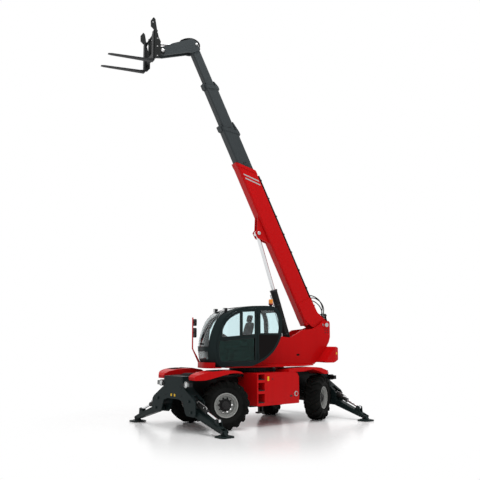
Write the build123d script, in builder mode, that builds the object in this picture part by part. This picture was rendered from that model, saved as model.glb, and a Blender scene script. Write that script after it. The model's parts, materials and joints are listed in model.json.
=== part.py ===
from build123d import *
import math
import os

os.makedirs("parts", exist_ok=True)

# Slewing telescopic handler on pivoting stabilisers, millimetres.
# Chassis pieces are drawn with x forward, y to the left and z up from the ground under the slew axis.
# Turret pieces are drawn looking straight ahead and then turned by the slew angle.
# Boom pieces are drawn along x from the boom's foot pin and then raised by the boom angle.

# placing
SLEW_AXIS_X = -740.0
SLEW_REST = -15.3
RUN_GAP = 8.0
SIDE_GAP = 6.0
PIN_FIT = 0.05

# wheels and axles
AXLE_X = 1525.0
WHEEL_Y = 900.0
TYRE_R = 600.0
TYRE_W = 450.0
LUG_DEPTH = 36.0
LUG_COUNT = 17
LUG_LEAD = 70.0
RIM_R = 300.0
RIM_W = 370.0
RIM_WALL = 16.0
DISC_OUT = 70.0
HUB_R = 120.0
HOLE_RING = 168.0
HOLE_R = 23.0
HOLE_COUNT = 10
SPINDLE_R = 46.0
KING_Y = 640.0
KING_R = 62.0
KING_HALF = 150.0
KING_PIN_R = 24.0
AXLE_TUBE_R = 105.0
DIFF_R = 150.0
STEER_FRONT_REST = -25.0
STEER_REAR_REST = 25.0

# chassis
FRAME_HALF_W = 290.0
FRAME_BOTTOM = 520.0
FRAME_TOP = 1200.0
FRAME_END = 2290.0
DECK_TOP = 1340.0
DECK_LOW = 1290.0
DECK_STEP = 1000.0
DECK_HALF_W = 560.0
BOX_OUT = 1100.0
BOX_BOTTOM = 520.0
BOX_REAR = -710.0
BOX_FRONT = 480.0
STEP_FRONT = 765.0
FENDER_TOP = 1440.0
FENDER_OUT = 1130.0
CAP_X = -590.0
CAP_Z = 770.0
RING_R = 610.0
RING_TOP = 1460.0
RING_BORE_R = 470.0

# stabilisers
STAB_X = 2435.0
STAB_HALF = 145.0
STAB_PLATE = 25.0
STAB_TOP = 1290.0
STAB_WEB_Y = 400.0
ARM_Y = 780.0
ARM_Z = 465.0
PAD_Y = 1900.0
PAD_PIN_Z = 112.0
ARM_HALF_X = 80.0
ARM_ROOT_R = 92.0
ARM_TIP_R = 52.0
ARM_EYE_S = 900.0
ARM_EYE_T = 150.0
STAB_CYL_Y = 690.0
STAB_CYL_Z = 715.0
STAB_BARREL_R = 52.0
STAB_BARREL_L = 610.0
STAB_ROD_R = 30.0
STAB_ROD_IN = 505.0
STAB_EYE_R = 46.0
STAB_EYE_HALF = 34.0
STAB_SLOT_HALF = STAB_BARREL_R + 10.0
STAB_SLOT_IN = 712.0
STAB_SLOT_Z = 738.0
PAD_LONG = 380.0
PAD_WIDE = 360.0
PAD_T = 34.0
PAD_PIN_R = 26.0

LAMP_Y = 560.0
LAMP_Z = 1105.0
LAMP_R = 78.0

TOW_R = 21.0
TOW_OUT = 70.0
TOW_Z = (780.0, 870.0)
TOW_T = 25.0

# turret
PLATFORM_BOTTOM = 1470.0
PLATFORM_TOP = 1500.0
PLATFORM_FRONT = 1150.0
TAIL_BOTTOM = 1545.0
BOOM_Y = -200.0
CRADLE_IN = 262.0
CRADLE_T = 42.0
TAIL_X = -2520.0
TAIL_LEFT = 560.0
TAIL_RIGHT = -960.0
BONNET_OUT = -1010.0

# boom
FOOT_X = -2320.0
FOOT_Z = 2600.0
BOOM_ANGLE = 64.6
FOOT_PIN_R = 55.0
SEC_OFF = -316.0
SEC_H = (486.0, 410.0, 330.0, 250.0)
SEC_W = (375.0, 323.0, 275.0, 224.0)
SEC_WALL = (16.0, 12.0, 10.0, 12.0)
SEC_END = (5330.0, 6430.0, 7700.0, 8740.0)
SEC_LONG = (5100.0, 4900.0, 4700.0, 4500.0)
SEC_RAKE = (460.0, 300.0, 150.0, 0.0)
SEC_EDGE = (60.0, 52.0, 44.0, 36.0)
BAND_LONG = 110.0
BAND_T = 10.0
GUIDE_T = 46.0
GUIDE_LIP = 5.0
HOLDER_LONG = 135.0
PIPE_Y = (84.0, 120.0, 156.0)
PIPE_R = 16.0
PIPE_LIFT = 5.0
SLIDE_FIT = 0.1

# lift cylinder
LIFT_X = -1350.0
LIFT_Z = 1735.0
LIFT_EYE_L = 3215.0
LIFT_EYE_T = -745.0
LIFT_BARREL_R = 100.0
LIFT_BARREL_L = 1940.0
LIFT_ROD_R = 55.0
LIFT_EYE_R = 85.0
LIFT_PIN_R = 45.0
LIFT_EYE_HALF = 62.0

# head, carriage and forks
HEAD_L = 8930.0
HEAD_T = -1318.0
HEAD_IN = 90.0
HEAD_PLATE = 28.0
TILT_L = 8845.0
TILT_T = -242.0
TILT_PIN_R = 28.0
TILT_EYE_R = 260.0
TILT_EYE_ANGLE = 75.0
TILT_BARREL_R = 62.0
TILT_BARREL_L = 560.0
TILT_ROD_R = 34.0
HEAD_PIN_R = 40.0
TILT_EYE_BOSS = 50.0
TILT_EYE_HALF = 38.0
FORK_HEEL_DX = 360.0
FORK_HEEL_DZ = -480.0
FORK_LONG = 1200.0
FORK_SPACE = 860.0
FORK_W = 125.0
FORK_T = 50.0

# cab
CAB_IN = 205.0
CAB_OUT = 1120.0
CAB_WALL = 55.0
CAB_FLOOR = 1515.0
CAB_ROOF = 3060.0
CAB_BULGE = 200.0
DOOR_T = 45.0
DOOR_RING = 62.0
DOOR_REAR = 375.0
DOOR_LOW = 1580.0
SILL = 2235.0
SILL_DROP = 0.09
GLASS_T = 10.0
GLASS_IN = 14.0
DOOR_GAP = 8.0
DOOR_HINGE_X = 346.0
DOOR_HINGE_Y = 1136.0
DOOR_HINGE_Z = (1760.0, 2780.0)
DOOR_HINGE_R = 14.0
DOOR_PIN_R = 7.0
BUMPER_Z = (1475.0, 1620.0)
BUMPER_X = 1502.0
BUMPER_T = 60.0
MIRROR_X = 1853.0
MIRROR_Y = 315.0
MIRROR_TOP = 2760.0
ROOF_LAMP_Z = 2900.0


def spot(x, z, l, t, angle):
    """Place of a point given along (l) and across (t) a line at an angle from (x, z)."""
    turn = math.radians(angle)
    return (
        x + l * math.cos(turn) - t * math.sin(turn),
        z + l * math.sin(turn) + t * math.cos(turn),
    )


def boom_spot(l, t):
    """Turret x and z of a point given in boom coordinates."""
    return spot(FOOT_X, FOOT_Z, l, t, BOOM_ANGLE)


def heading(start, end):
    """Angle in degrees and length of the line between two points of a side view."""
    run = end[0] - start[0]
    rise = end[1] - start[1]
    return math.degrees(math.atan2(rise, run)), math.hypot(run, rise)


HEAD_PIN = boom_spot(HEAD_L, HEAD_T)
TILT_FOOT = boom_spot(TILT_L, TILT_T)
LIFT_PIN = boom_spot(LIFT_EYE_L, LIFT_EYE_T)
TILT_PIN = spot(HEAD_PIN[0], HEAD_PIN[1], TILT_EYE_R, 0.0, TILT_EYE_ANGLE)
LIFT_ANGLE, LIFT_SPAN = heading((LIFT_X, LIFT_Z), LIFT_PIN)
TILT_ANGLE, TILT_SPAN = heading(TILT_FOOT, TILT_PIN)
ARM_ANGLE, ARM_SPAN = heading((ARM_Y, ARM_Z), (PAD_Y, PAD_PIN_Z))
ARM_EYE = spot(ARM_Y, ARM_Z, ARM_EYE_S, ARM_EYE_T, ARM_ANGLE)
STAB_ANGLE, STAB_SPAN = heading((STAB_CYL_Y, STAB_CYL_Z), ARM_EYE)
CHASSIS = Location((SLEW_AXIS_X, 0, 0))
TURRET = CHASSIS * Location((0, 0, 0), (0, 0, SLEW_REST))
BOOM = TURRET * Location((FOOT_X, BOOM_Y, FOOT_Z), (0, -BOOM_ANGLE, 0))


def side(points, low, high, mode=Mode.ADD, round_by=0.0):
    """Outline in x and z, filled from y = low to y = high."""
    with BuildSketch(Plane.XZ.offset(-high)) as face:
        with BuildLine():
            Polyline(*points, close=True)
        make_face()
        if round_by:
            fillet(face.vertices(), round_by)
    extrude(to_extrude=face.sketch, amount=high - low, mode=mode)


def front(points, low, high, mode=Mode.ADD, round_by=0.0):
    """Outline in y and z, filled from x = low to x = high."""
    with BuildSketch(Plane.YZ.offset(low)) as face:
        with BuildLine():
            Polyline(*points, close=True)
        make_face()
        if round_by:
            fillet(face.vertices(), round_by)
    extrude(to_extrude=face.sketch, amount=high - low, mode=mode)


def plan(points, low, high, mode=Mode.ADD, round_by=0.0):
    """Outline in x and y, filled from z = low to z = high."""
    with BuildSketch(Plane.XY.offset(low)) as face:
        with BuildLine():
            Polyline(*points, close=True)
        make_face()
        if round_by:
            fillet(face.vertices(), round_by)
    extrude(to_extrude=face.sketch, amount=high - low, mode=mode)


def block(x, y, z, mode=Mode.ADD):
    """Box between the low and high values of each pair."""
    with Locations(((x[0] + x[1]) / 2, (y[0] + y[1]) / 2, (z[0] + z[1]) / 2)):
        Box(x[1] - x[0], y[1] - y[0], z[1] - z[0], mode=mode)


def bar(start, end, radius, mode=Mode.ADD):
    """Round bar between two points."""
    run = Vector(*end) - Vector(*start)
    with BuildSketch(Plane(origin=start, z_dir=run)) as ring:
        Circle(radius)
    extrude(to_extrude=ring.sketch, amount=run.length, mode=mode)


def save(source, node, place):
    """Put a drawn piece in its place and write its file."""
    with BuildPart() as piece:
        with Locations(place):
            add(source.part)
    piece.part.label = node
    export_step(piece.part, f"parts/{node}.step")


def chassis_frame():
    """Box frame with its stepped top deck and cross box."""
    with BuildPart() as frame:
        block((-FRAME_END, FRAME_END), (-FRAME_HALF_W, FRAME_HALF_W), (FRAME_BOTTOM + 240, FRAME_TOP))
        block((-AXLE_X + 700, AXLE_X - 700), (-FRAME_HALF_W, FRAME_HALF_W), (FRAME_BOTTOM, FRAME_TOP))
        block((-FRAME_END, FRAME_END), (-DECK_HALF_W, DECK_HALF_W), (FRAME_TOP + 40, DECK_LOW))
        block((-FRAME_END, FRAME_END), (-FRAME_HALF_W + 60, FRAME_HALF_W - 60), (FRAME_TOP - 10, DECK_LOW))
        block((-DECK_STEP, DECK_STEP), (-DECK_HALF_W, DECK_HALF_W), (FRAME_TOP + 40, DECK_TOP))
        block((-DECK_STEP, DECK_STEP), (-FRAME_HALF_W, FRAME_HALF_W), (FRAME_TOP - 10, DECK_TOP))
    save(frame, "chassis_frame", CHASSIS)


def stabiliser_frames():
    """Housing at each end: plates with spread legs, slotted above the cylinders, and the rear tow clevis."""
    half = [
        (0, STAB_TOP), (STAB_WEB_Y, STAB_TOP), (STAB_WEB_Y + 40, 1030), (890, 765), (950, 690), (965, 430),
        (900, 360), (600, 370), (540, 420), (420, 690), (250, 738), (0, 738),
    ]
    outline = half + [(-y, z) for y, z in reversed(half[1:-1])]
    web = STAB_WEB_Y
    with BuildPart() as housings:
        for end in (1, -1):
            mid = end * STAB_X
            front(outline, mid - STAB_HALF, mid - STAB_HALF + STAB_PLATE)
            front(outline, mid + STAB_HALF - STAB_PLATE, mid + STAB_HALF)
            block((mid - STAB_HALF, mid + STAB_HALF), (-web, web), (760, STAB_TOP))
            for flank in (1, -1):
                front([(flank * (web - 10), STAB_TOP - 40), (flank * (web + 38), 1032), (flank * 888, 765),
                       (flank * 870, 745), (flank * (web + 10), 1005), (flank * (web - 40), STAB_TOP - 60)],
                      mid - STAB_HALF, mid + STAB_HALF)
                slot = tuple(sorted((flank * STAB_SLOT_IN, flank * 900)))
                block((mid - STAB_SLOT_HALF, mid + STAB_SLOT_HALF), slot, (STAB_SLOT_Z, 900),
                      mode=Mode.SUBTRACT)
                for y, z in ((ARM_Y, ARM_Z), (STAB_CYL_Y, STAB_CYL_Z)):
                    bar((mid - STAB_HALF - 14, flank * y, z), (mid + STAB_HALF + 14, flank * y, z), 30)
        rear = -STAB_X - STAB_HALF
        for z in TOW_Z:
            plan([(rear + 5, 90), (rear - 80, 60), (rear - 130, 0), (rear - 80, -60), (rear + 5, -90)], z,
                 z + TOW_T)
        bar((rear - TOW_OUT, 0, TOW_Z[0] - 5), (rear - TOW_OUT, 0, TOW_Z[1] + TOW_T + 5), TOW_R,
            mode=Mode.SUBTRACT)
    save(housings, "stabiliser_frames", CHASSIS)


FRONT_WING = [
    (1215, 1337), (1334, 1402), (1500, 1428), (1677, FENDER_TOP), (1900, 1436), (2100, 1422), (2300, 1390),
    (2440, 1342),
    (2505, 1285), (2490, 1208), (2310, 1218), (1982, 1304), (1676, 1363), (1414, 1380),
]
FRONT_WING_PLAN = [(1100, 520), (1100, 1105), (1300, 1130), (1950, 1130), (2200, 1060), (2400, 930),
                   (2505, 800), (2520, 520)]
REAR_WING = [
    (-340, DECK_TOP), (-360, 1400), (-560, 1424), (-790, 1436), (-1100, FENDER_TOP), (-1356, FENDER_TOP),
    (-1551, 1418),
    (-1760, 1352), (-1911, 1280), (-1911, 1242), (-1690, 1245), (-1451, 1336), (-1226, 1388),
    (-840, DECK_TOP),
]
REAR_WING_PLAN = [(-300, 520), (-300, 1100), (-1500, 1130), (-1800, 1110), (-1930, 1040), (-1930, 520)]


def wing(profile, outline, riser):
    """One left wheel guard: side profile trimmed to its plan, with the riser that stands on the deck."""
    with BuildPart() as guard:
        side(profile, DECK_HALF_W, FENDER_OUT)
        plan(outline, 1100, 1500, mode=Mode.INTERSECT)
        side(riser, DECK_HALF_W - 40, DECK_HALF_W)
    return guard


def fenders():
    """Wing shaped guards over the four wheels."""
    front_riser = [(1260, DECK_LOW), (2280, DECK_LOW), (2280, 1390), (1900, 1434), (1677, FENDER_TOP - 2),
                   (1334, 1400), (1260, 1360)]
    rear_riser = [(-DECK_STEP - 2, DECK_LOW), (-1700, DECK_LOW), (-1700, 1370), (-1551, 1416),
                  (-1356, FENDER_TOP - 2),
                  (-DECK_STEP - 2, FENDER_TOP - 4)]
    ahead = wing(FRONT_WING, FRONT_WING_PLAN, front_riser)
    behind = wing(REAR_WING, REAR_WING_PLAN, rear_riser)
    with BuildPart() as guards:
        for guard in (ahead, behind):
            add(guard.part)
            add(guard.part.mirror(Plane.XZ))
    save(guards, "fenders", CHASSIS)


LADDER_GAPS = ((BOX_BOTTOM + 70, BOX_BOTTOM + 300), (BOX_BOTTOM + 370, BOX_BOTTOM + 580),
               (BOX_BOTTOM + 645, BOX_BOTTOM + 790))


def side_boxes():
    """Tank box with the ladder bay on the left and closed box on the right."""
    low = FRAME_HALF_W
    outline = [
        (BOX_REAR, BOX_BOTTOM), (STEP_FRONT, BOX_BOTTOM), (STEP_FRONT, DECK_TOP), (BOX_REAR + 150, DECK_TOP),
        (BOX_REAR + 60, DECK_TOP - 30), (BOX_REAR, DECK_TOP - 130),
    ]
    with BuildPart() as boxes:
        for flank in (1, -1):
            low_y, high_y = sorted((flank * DECK_HALF_W, flank * BOX_OUT))
            side(outline, low_y, high_y, round_by=28)
            low_y, high_y = sorted((flank * low, flank * (DECK_HALF_W + 30)))
            block((BOX_REAR + 30, STEP_FRONT - 30), (low_y, high_y), (BOX_BOTTOM + 30, FRAME_TOP + 40))
        for bottom, top in LADDER_GAPS:
            block((BOX_FRONT + 30, STEP_FRONT - 40), (BOX_OUT - 270, BOX_OUT + 5), (bottom, top),
                  mode=Mode.SUBTRACT)
        bar((CAP_X, BOX_OUT - 1, CAP_Z), (CAP_X, BOX_OUT + 16, CAP_Z), 62)
        bar((CAP_X, BOX_OUT + 15, CAP_Z), (CAP_X, BOX_OUT + 24, CAP_Z), 44)
        for step in range(9):
            x = BOX_REAR + 160 + step * 75
            block((x, x + 36), (-BOX_OUT - 5, -BOX_OUT + 22), (BOX_BOTTOM + 330, DECK_TOP - 220),
                  mode=Mode.SUBTRACT)
    save(boxes, "side_boxes", CHASSIS)


def steps():
    """Treads of the cab ladder, lying in the bay's openings, and the lowest hanging step."""
    with BuildPart() as treads:
        for bottom, top in LADDER_GAPS:
            block((BOX_FRONT + 30, STEP_FRONT - 40), (BOX_OUT - 260, BOX_OUT - 6), (bottom, bottom + 22))
        for x in (BOX_FRONT + 60, STEP_FRONT - 100):
            block((x, x + 30), (BOX_OUT - 60, BOX_OUT - 30), (BOX_BOTTOM - 150, BOX_BOTTOM))
        block((BOX_FRONT + 40, STEP_FRONT - 50), (BOX_OUT - 130, BOX_OUT - 10),
              (BOX_BOTTOM - 180, BOX_BOTTOM - 145))
    save(treads, "steps", CHASSIS)


def axles():
    """Front and rear steering axles with the drop gearbox and drive shafts between them."""
    with BuildPart() as beams:
        for end in (1, -1):
            x = end * AXLE_X
            reach = KING_Y - 95
            bar((x, -reach, TYRE_R), (x, reach, TYRE_R), AXLE_TUBE_R)
            with Locations((x, 0, TYRE_R)):
                Sphere(DIFF_R)
            block((x - 110, x + 110), (-250, 250), (TYRE_R + 60, FRAME_BOTTOM + 240))
            for flank in (1, -1):
                y = flank * KING_Y
                for level in (1, -1):
                    z = TYRE_R + level * (KING_HALF + 22)
                    bar((x, y, z - 22), (x, y, z + 22), KING_R + 20)
                    block((x - 70, x + 70), tuple(sorted((flank * (reach - 40), y))), (z - 22, z + 22))
                block((x - 70, x + 70), tuple(sorted((flank * (reach - 40), flank * reach))),
                      (TYRE_R - KING_HALF - 44, TYRE_R + KING_HALF + 44))
                bar((x, y, TYRE_R - 300), (x, y, TYRE_R + 300), KING_PIN_R + PIN_FIT, mode=Mode.SUBTRACT)
            bar((end * (AXLE_X - 690), 0, TYRE_R), (end * (AXLE_X - 100), 0, TYRE_R), 48)
        block((-260, 200), (-170, 170), (FRAME_BOTTOM - 130, FRAME_BOTTOM))
    save(beams, "axles", CHASSIS)


def slew_ring():
    """Toothed ring that carries the turret."""
    with BuildPart() as ring:
        bar((0, 0, DECK_TOP), (0, 0, RING_TOP), RING_R)
        bar((0, 0, DECK_TOP), (0, 0, RING_TOP), RING_BORE_R, mode=Mode.SUBTRACT)
    save(ring, "slew_ring", CHASSIS)


def lamps():
    """Round lamp and side marker pairs on brackets beside the stabiliser housings, front and rear."""
    face = STAB_X + STAB_HALF
    with BuildPart() as hoods:
        for end in (1, -1):
            for flank in (1, -1):
                y = flank * LAMP_Y
                bar((end * (face - 110), y, LAMP_Z), (end * (face + 8), y, LAMP_Z), LAMP_R)
                bar((end * (face - 8), y, LAMP_Z), (end * (face + 8), y, LAMP_Z), LAMP_R - 14,
                    mode=Mode.SUBTRACT)
                block(tuple(sorted((end * (face - 90), end * (face + 4)))),
                      tuple(sorted((flank * (LAMP_Y + LAMP_R - 12), flank * (LAMP_Y + LAMP_R + 78)))),
                      (LAMP_Z - 52, LAMP_Z + 52))
                block(tuple(sorted((end * face, end * (face + 14)))),
                      tuple(sorted((flank * (STAB_WEB_Y - 20), flank * (LAMP_Y - LAMP_R + 14)))),
                      (LAMP_Z - 30, LAMP_Z + 20))
    save(hoods, "lamps", CHASSIS)


def knuckle(node, end, flank, angle):
    """King pin, steering arm and wheel spindle at the end of an axle."""
    with BuildPart() as swivel:
        bar((0, 0, -KING_HALF + SIDE_GAP), (0, 0, KING_HALF - SIDE_GAP), KING_R)
        out = flank * (WHEEL_Y - KING_Y + DISC_OUT - 24)
        bar((0, 0, 0), (0, out, 0), HUB_R)
        bar((0, 0, -KING_HALF - 52), (0, 0, KING_HALF + 52), KING_PIN_R)
        bar((0, 0, 0), (0, flank * (WHEEL_Y - KING_Y + DISC_OUT + 46), 0), SPINDLE_R)
    place = CHASSIS * Location((end * AXLE_X, flank * KING_Y, TYRE_R), (0, 0, angle))
    save(swivel, node, place)


def wheel_place(end, flank, angle):
    king = Location((end * AXLE_X, flank * KING_Y, TYRE_R), (0, 0, angle))
    turn = 0 if flank > 0 else 180
    return CHASSIS * king * Location((0, flank * (WHEEL_Y - KING_Y), 0), (0, 0, turn))


def rim(node, place):
    """Dished steel wheel turned about its axle with a ring of round holes, outside face towards +y."""
    half = RIM_W / 2
    inner = RIM_R - 45
    with BuildPart() as disc:
        with BuildSketch(Plane.YZ) as face:
            with BuildLine():
                Polyline(
                    (-half, RIM_R), (-half, RIM_R - 30), (-half + 45, inner - RIM_WALL),
                    (DISC_OUT - 14, inner - RIM_WALL), (DISC_OUT - 14, 0), (DISC_OUT + 80, 0),
                    (DISC_OUT + 80, 88), (DISC_OUT + 62, 104), (DISC_OUT + 30, 116), (DISC_OUT + 8, 120),
                    (DISC_OUT + 8, inner - RIM_WALL - 26), (half - 50, inner - RIM_WALL - 6),
                    (half - 22, RIM_R - 34),
                    (half, RIM_R - 26), (half, RIM_R), (half - 18, RIM_R), (half - 34, inner),
                    (-half + 34, inner), (-half + 18, RIM_R), close=True,
                )
            make_face()
        revolve(axis=Axis.Y)
        bar((0, 0, 0), (0, DISC_OUT + 50, 0), SPINDLE_R + PIN_FIT, mode=Mode.SUBTRACT)
        with PolarLocations(HOLE_RING, HOLE_COUNT) as ring:
            spots = [place.position for place in ring.locations]
        for spot_at in spots:
            bar((spot_at.X, DISC_OUT - 20, spot_at.Y), (spot_at.X, DISC_OUT + 14, spot_at.Y), HOLE_R,
                mode=Mode.SUBTRACT)
    save(disc, node, place)


def tyre_shape(lead):
    """Tyre turned about its axle with slanted lugs from each shoulder to the middle, leaning by lead."""
    half = TYRE_W / 2
    seat = RIM_R - 45
    base = TYRE_R - LUG_DEPTH
    bead = [(-RIM_W / 2 + 36, RIM_R + 4), (-RIM_W / 2 + 36, seat + 0.1), (RIM_W / 2 - 36, seat + 0.1),
            (RIM_W / 2 - 36, RIM_R + 4)]
    wall = [(half - 32, RIM_R + 12), (half - 12, RIM_R + 80), (half - 14, RIM_R + 165),
            (half - 46, base - 34), (half - 90, base)]
    reach = [(half - 32, RIM_R + 12), (half, RIM_R + 80), (half, RIM_R + 185), (half - 24, TYRE_R - 34),
             (half - 62, TYRE_R)]
    with BuildPart() as lugs:
        for number in range(2 * LUG_COUNT):
            flank = 1 if number % 2 else -1
            turn = 180.0 * number / LUG_COUNT
            with BuildSketch(Plane.XY.offset(RIM_R + 130)) as bar_face:
                with BuildLine():
                    Polyline((-34 - lead, flank * (half + 20)), (40 - lead, flank * (half + 20)),
                             (34 + lead, -flank * 14),
                             (-22 + lead, -flank * 14), close=True)
                make_face()
            with BuildPart(mode=Mode.PRIVATE) as lug:
                extrude(to_extrude=bar_face.sketch, amount=200)
            with Locations(Location((0, 0, 0), (0, turn + 180.0, 0))):
                add(lug.part)
        with BuildSketch(Plane.YZ) as envelope:
            with BuildLine():
                Polyline(*(reach + [(-y, r) for y, r in reversed(reach)]), close=True)
            make_face()
        with BuildPart(mode=Mode.PRIVATE) as room:
            revolve(envelope.sketch, axis=Axis.Y)
        add(room.part, mode=Mode.INTERSECT)
    with BuildPart() as ring:
        with BuildSketch(Plane.YZ) as face:
            with BuildLine():
                Polyline(*(bead + wall + [(-y, r) for y, r in reversed(wall)]), close=True)
            make_face()
        revolve(face.sketch, axis=Axis.Y)
        add(lugs.part)
    return ring


def stab_place(end, flank):
    """Local y runs outwards from the middle of the machine, z up."""
    turn = 0 if flank > 0 else 180
    return CHASSIS * Location((end * STAB_X, 0, 0), (0, 0, turn))


def stab_arm(node, place):
    """Tapered arm from the leg's pin to the pad, with lugs for the rod's eye."""
    with BuildPart() as arm:
        half = ARM_HALF_X
        with BuildSketch(Plane.YZ.offset(-half)) as face:
            with BuildLine():
                Polyline((0, ARM_ROOT_R), (ARM_SPAN - 95, ARM_TIP_R), (ARM_SPAN - 95, -ARM_TIP_R),
                         (0, -ARM_ROOT_R), close=True)
            make_face()
            Circle(ARM_ROOT_R)
            Circle(30 + PIN_FIT, mode=Mode.SUBTRACT)
        extrude(to_extrude=face.sketch, amount=2 * half)
        lug = [(ARM_EYE_S - 110, 40), (ARM_EYE_S - 45, ARM_EYE_T + 45), (ARM_EYE_S + 45, ARM_EYE_T + 45),
               (ARM_EYE_S + 110, 40)]
        for low in (STAB_EYE_HALF + SIDE_GAP, -STAB_EYE_HALF - SIDE_GAP - 20):
            front(lug, low, low + 20)
        for low in (half - 24, -half):
            front([(ARM_SPAN - 130, ARM_TIP_R), (ARM_SPAN + 40, 40), (ARM_SPAN + 40, -40),
                   (ARM_SPAN - 130, -ARM_TIP_R)], low, low + 24)
        bar((-half - 12, ARM_SPAN, 0), (half + 12, ARM_SPAN, 0), PAD_PIN_R)
        for low, high in ((40, 72), (-72, -40)):
            bar((low, ARM_EYE_S, ARM_EYE_T), (high, ARM_EYE_S, ARM_EYE_T), 26)
    tilt = Location((0, ARM_Y, ARM_Z), (ARM_ANGLE, 0, 0))
    save(arm, node, place * tilt)


def stab_barrel(node, place):
    """Cylinder barrel hung from the housing's upper pin."""
    with BuildPart() as barrel:
        bar((0, 60, 0), (0, STAB_BARREL_L, 0), STAB_BARREL_R)
        with BuildSketch(Plane.YZ.offset(-STAB_EYE_HALF)) as face:
            Circle(58)
            with Locations((45, 0)):
                Rectangle(90, 80)
            Circle(30 + PIN_FIT, mode=Mode.SUBTRACT)
        extrude(to_extrude=face.sketch, amount=2 * STAB_EYE_HALF)
        bar((0, 110, 0), (0, STAB_BARREL_L, 0), STAB_ROD_R + PIN_FIT, mode=Mode.SUBTRACT)
    tilt = Location((0, STAB_CYL_Y, STAB_CYL_Z), (STAB_ANGLE, 0, 0))
    save(barrel, node, place * tilt)


def stab_rod(node, place):
    """Plated rod with its eye."""
    with BuildPart() as rod:
        bar((0, STAB_ROD_IN, 0), (0, STAB_SPAN, 0), STAB_ROD_R)
        bar((-STAB_EYE_HALF, STAB_SPAN, 0), (STAB_EYE_HALF, STAB_SPAN, 0), STAB_EYE_R)
    tilt = Location((0, STAB_CYL_Y, STAB_CYL_Z), (STAB_ANGLE, 0, 0))
    save(rod, node, place * tilt)


def pad(node, place):
    """Foot plate with the ribbed lug that hangs from the arm's tip."""
    inner = ARM_HALF_X - 24 - SIDE_GAP
    sole = -PAD_PIN_Z + PAD_T
    with BuildPart() as foot:
        plan([(-PAD_LONG / 2, -PAD_WIDE / 2 + 60), (-PAD_LONG / 2 + 60, -PAD_WIDE / 2),
              (PAD_LONG / 2 - 60, -PAD_WIDE / 2),
              (PAD_LONG / 2, -PAD_WIDE / 2 + 60), (PAD_LONG / 2, PAD_WIDE / 2 - 60),
              (PAD_LONG / 2 - 60, PAD_WIDE / 2),
              (-PAD_LONG / 2 + 60, PAD_WIDE / 2), (-PAD_LONG / 2, PAD_WIDE / 2 - 60)], -PAD_PIN_Z, sole)
        front([(-165, sole - 1), (165, sole - 1), (165, sole + 8), (84, sole + 26), (44, 0), (30, 34),
               (-30, 34), (-44, 0),
               (-84, sole + 26), (-165, sole + 8)], -inner, inner)
        for flank in (1, -1):
            side([(flank * (inner - 1), sole - 1), (flank * 165, sole - 1), (flank * 165, sole + 6),
                  (flank * (inner - 1), sole + 22)],
                 -70, 70)
        bar((-inner, 0, 0), (inner, 0, 0), PAD_PIN_R + PIN_FIT, mode=Mode.SUBTRACT)
    save(foot, node, place * Location((0, PAD_Y, PAD_PIN_Z)))


def turret_frame(cab):
    """Platform with the cab's bearers, the two cradle plates beside the boom and the lift ram's clevis."""
    cradle = [
        (900, PLATFORM_TOP - 5), (-1900, PLATFORM_TOP - 5), (-1960, TAIL_BOTTOM), (-2380, TAIL_BOTTOM),
        (-2440, 1700), (-2440, 1960), (-2320, 1985), (-2400, 2120), (-2440, 2260), (-2440, 2660),
        (-2410, 2715), (-2240, 2715),
        (-2050, 2570), (-1870, 2490), (-1510, 2450), (-1300, 2330), (-1130, 2240), (-820, 2275),
        (-500, 2150), (900, 1640),
    ]
    deck = [
        (PLATFORM_FRONT, 900), (PLATFORM_FRONT, -900), (-1500, -950), (-1760, -700), (-1760, 300),
        (-1300, 650), (150, 900),
    ]
    with BuildPart() as turret:
        plan(deck, PLATFORM_BOTTOM, PLATFORM_TOP)
        for y in (CAB_IN + 130, CAB_OUT - 260):
            block((480, 1140), (y, y + 90), (PLATFORM_TOP - 5, CAB_FLOOR + 30))
        add(cab.part, mode=Mode.SUBTRACT)
        bar((0, 0, RING_TOP - 60), (0, 0, PLATFORM_TOP), RING_BORE_R - PIN_FIT)
        for low in (BOOM_Y + CRADLE_IN, BOOM_Y - CRADLE_IN - CRADLE_T):
            side(cradle, low, low + CRADLE_T)
            mid = low + CRADLE_T / 2
            bar((FOOT_X, mid - 40, FOOT_Z), (FOOT_X, mid + 40, FOOT_Z), 95)
        block((-2360, -2200), (BOOM_Y - CRADLE_IN, BOOM_Y + CRADLE_IN), (TAIL_BOTTOM + 60, 1900))
        bar((FOOT_X, BOOM_Y - CRADLE_IN - 70, FOOT_Z), (FOOT_X, BOOM_Y + CRADLE_IN + 70, FOOT_Z), FOOT_PIN_R)
        for low in (BOOM_Y + LIFT_EYE_HALF + SIDE_GAP, BOOM_Y - LIFT_EYE_HALF - SIDE_GAP - 40):
            side([(LIFT_X - 200, PLATFORM_TOP - 5), (LIFT_X + 200, PLATFORM_TOP - 5),
                  (LIFT_X + 100, LIFT_Z + 70),
                  (LIFT_X - 100, LIFT_Z + 70)], low, low + 40)
        reach = LIFT_EYE_HALF + SIDE_GAP + 40
        bar((LIFT_X, BOOM_Y - reach, LIFT_Z), (LIFT_X, BOOM_Y + reach, LIFT_Z), LIFT_PIN_R)
    save(turret, "turret_frame", TURRET)


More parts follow.
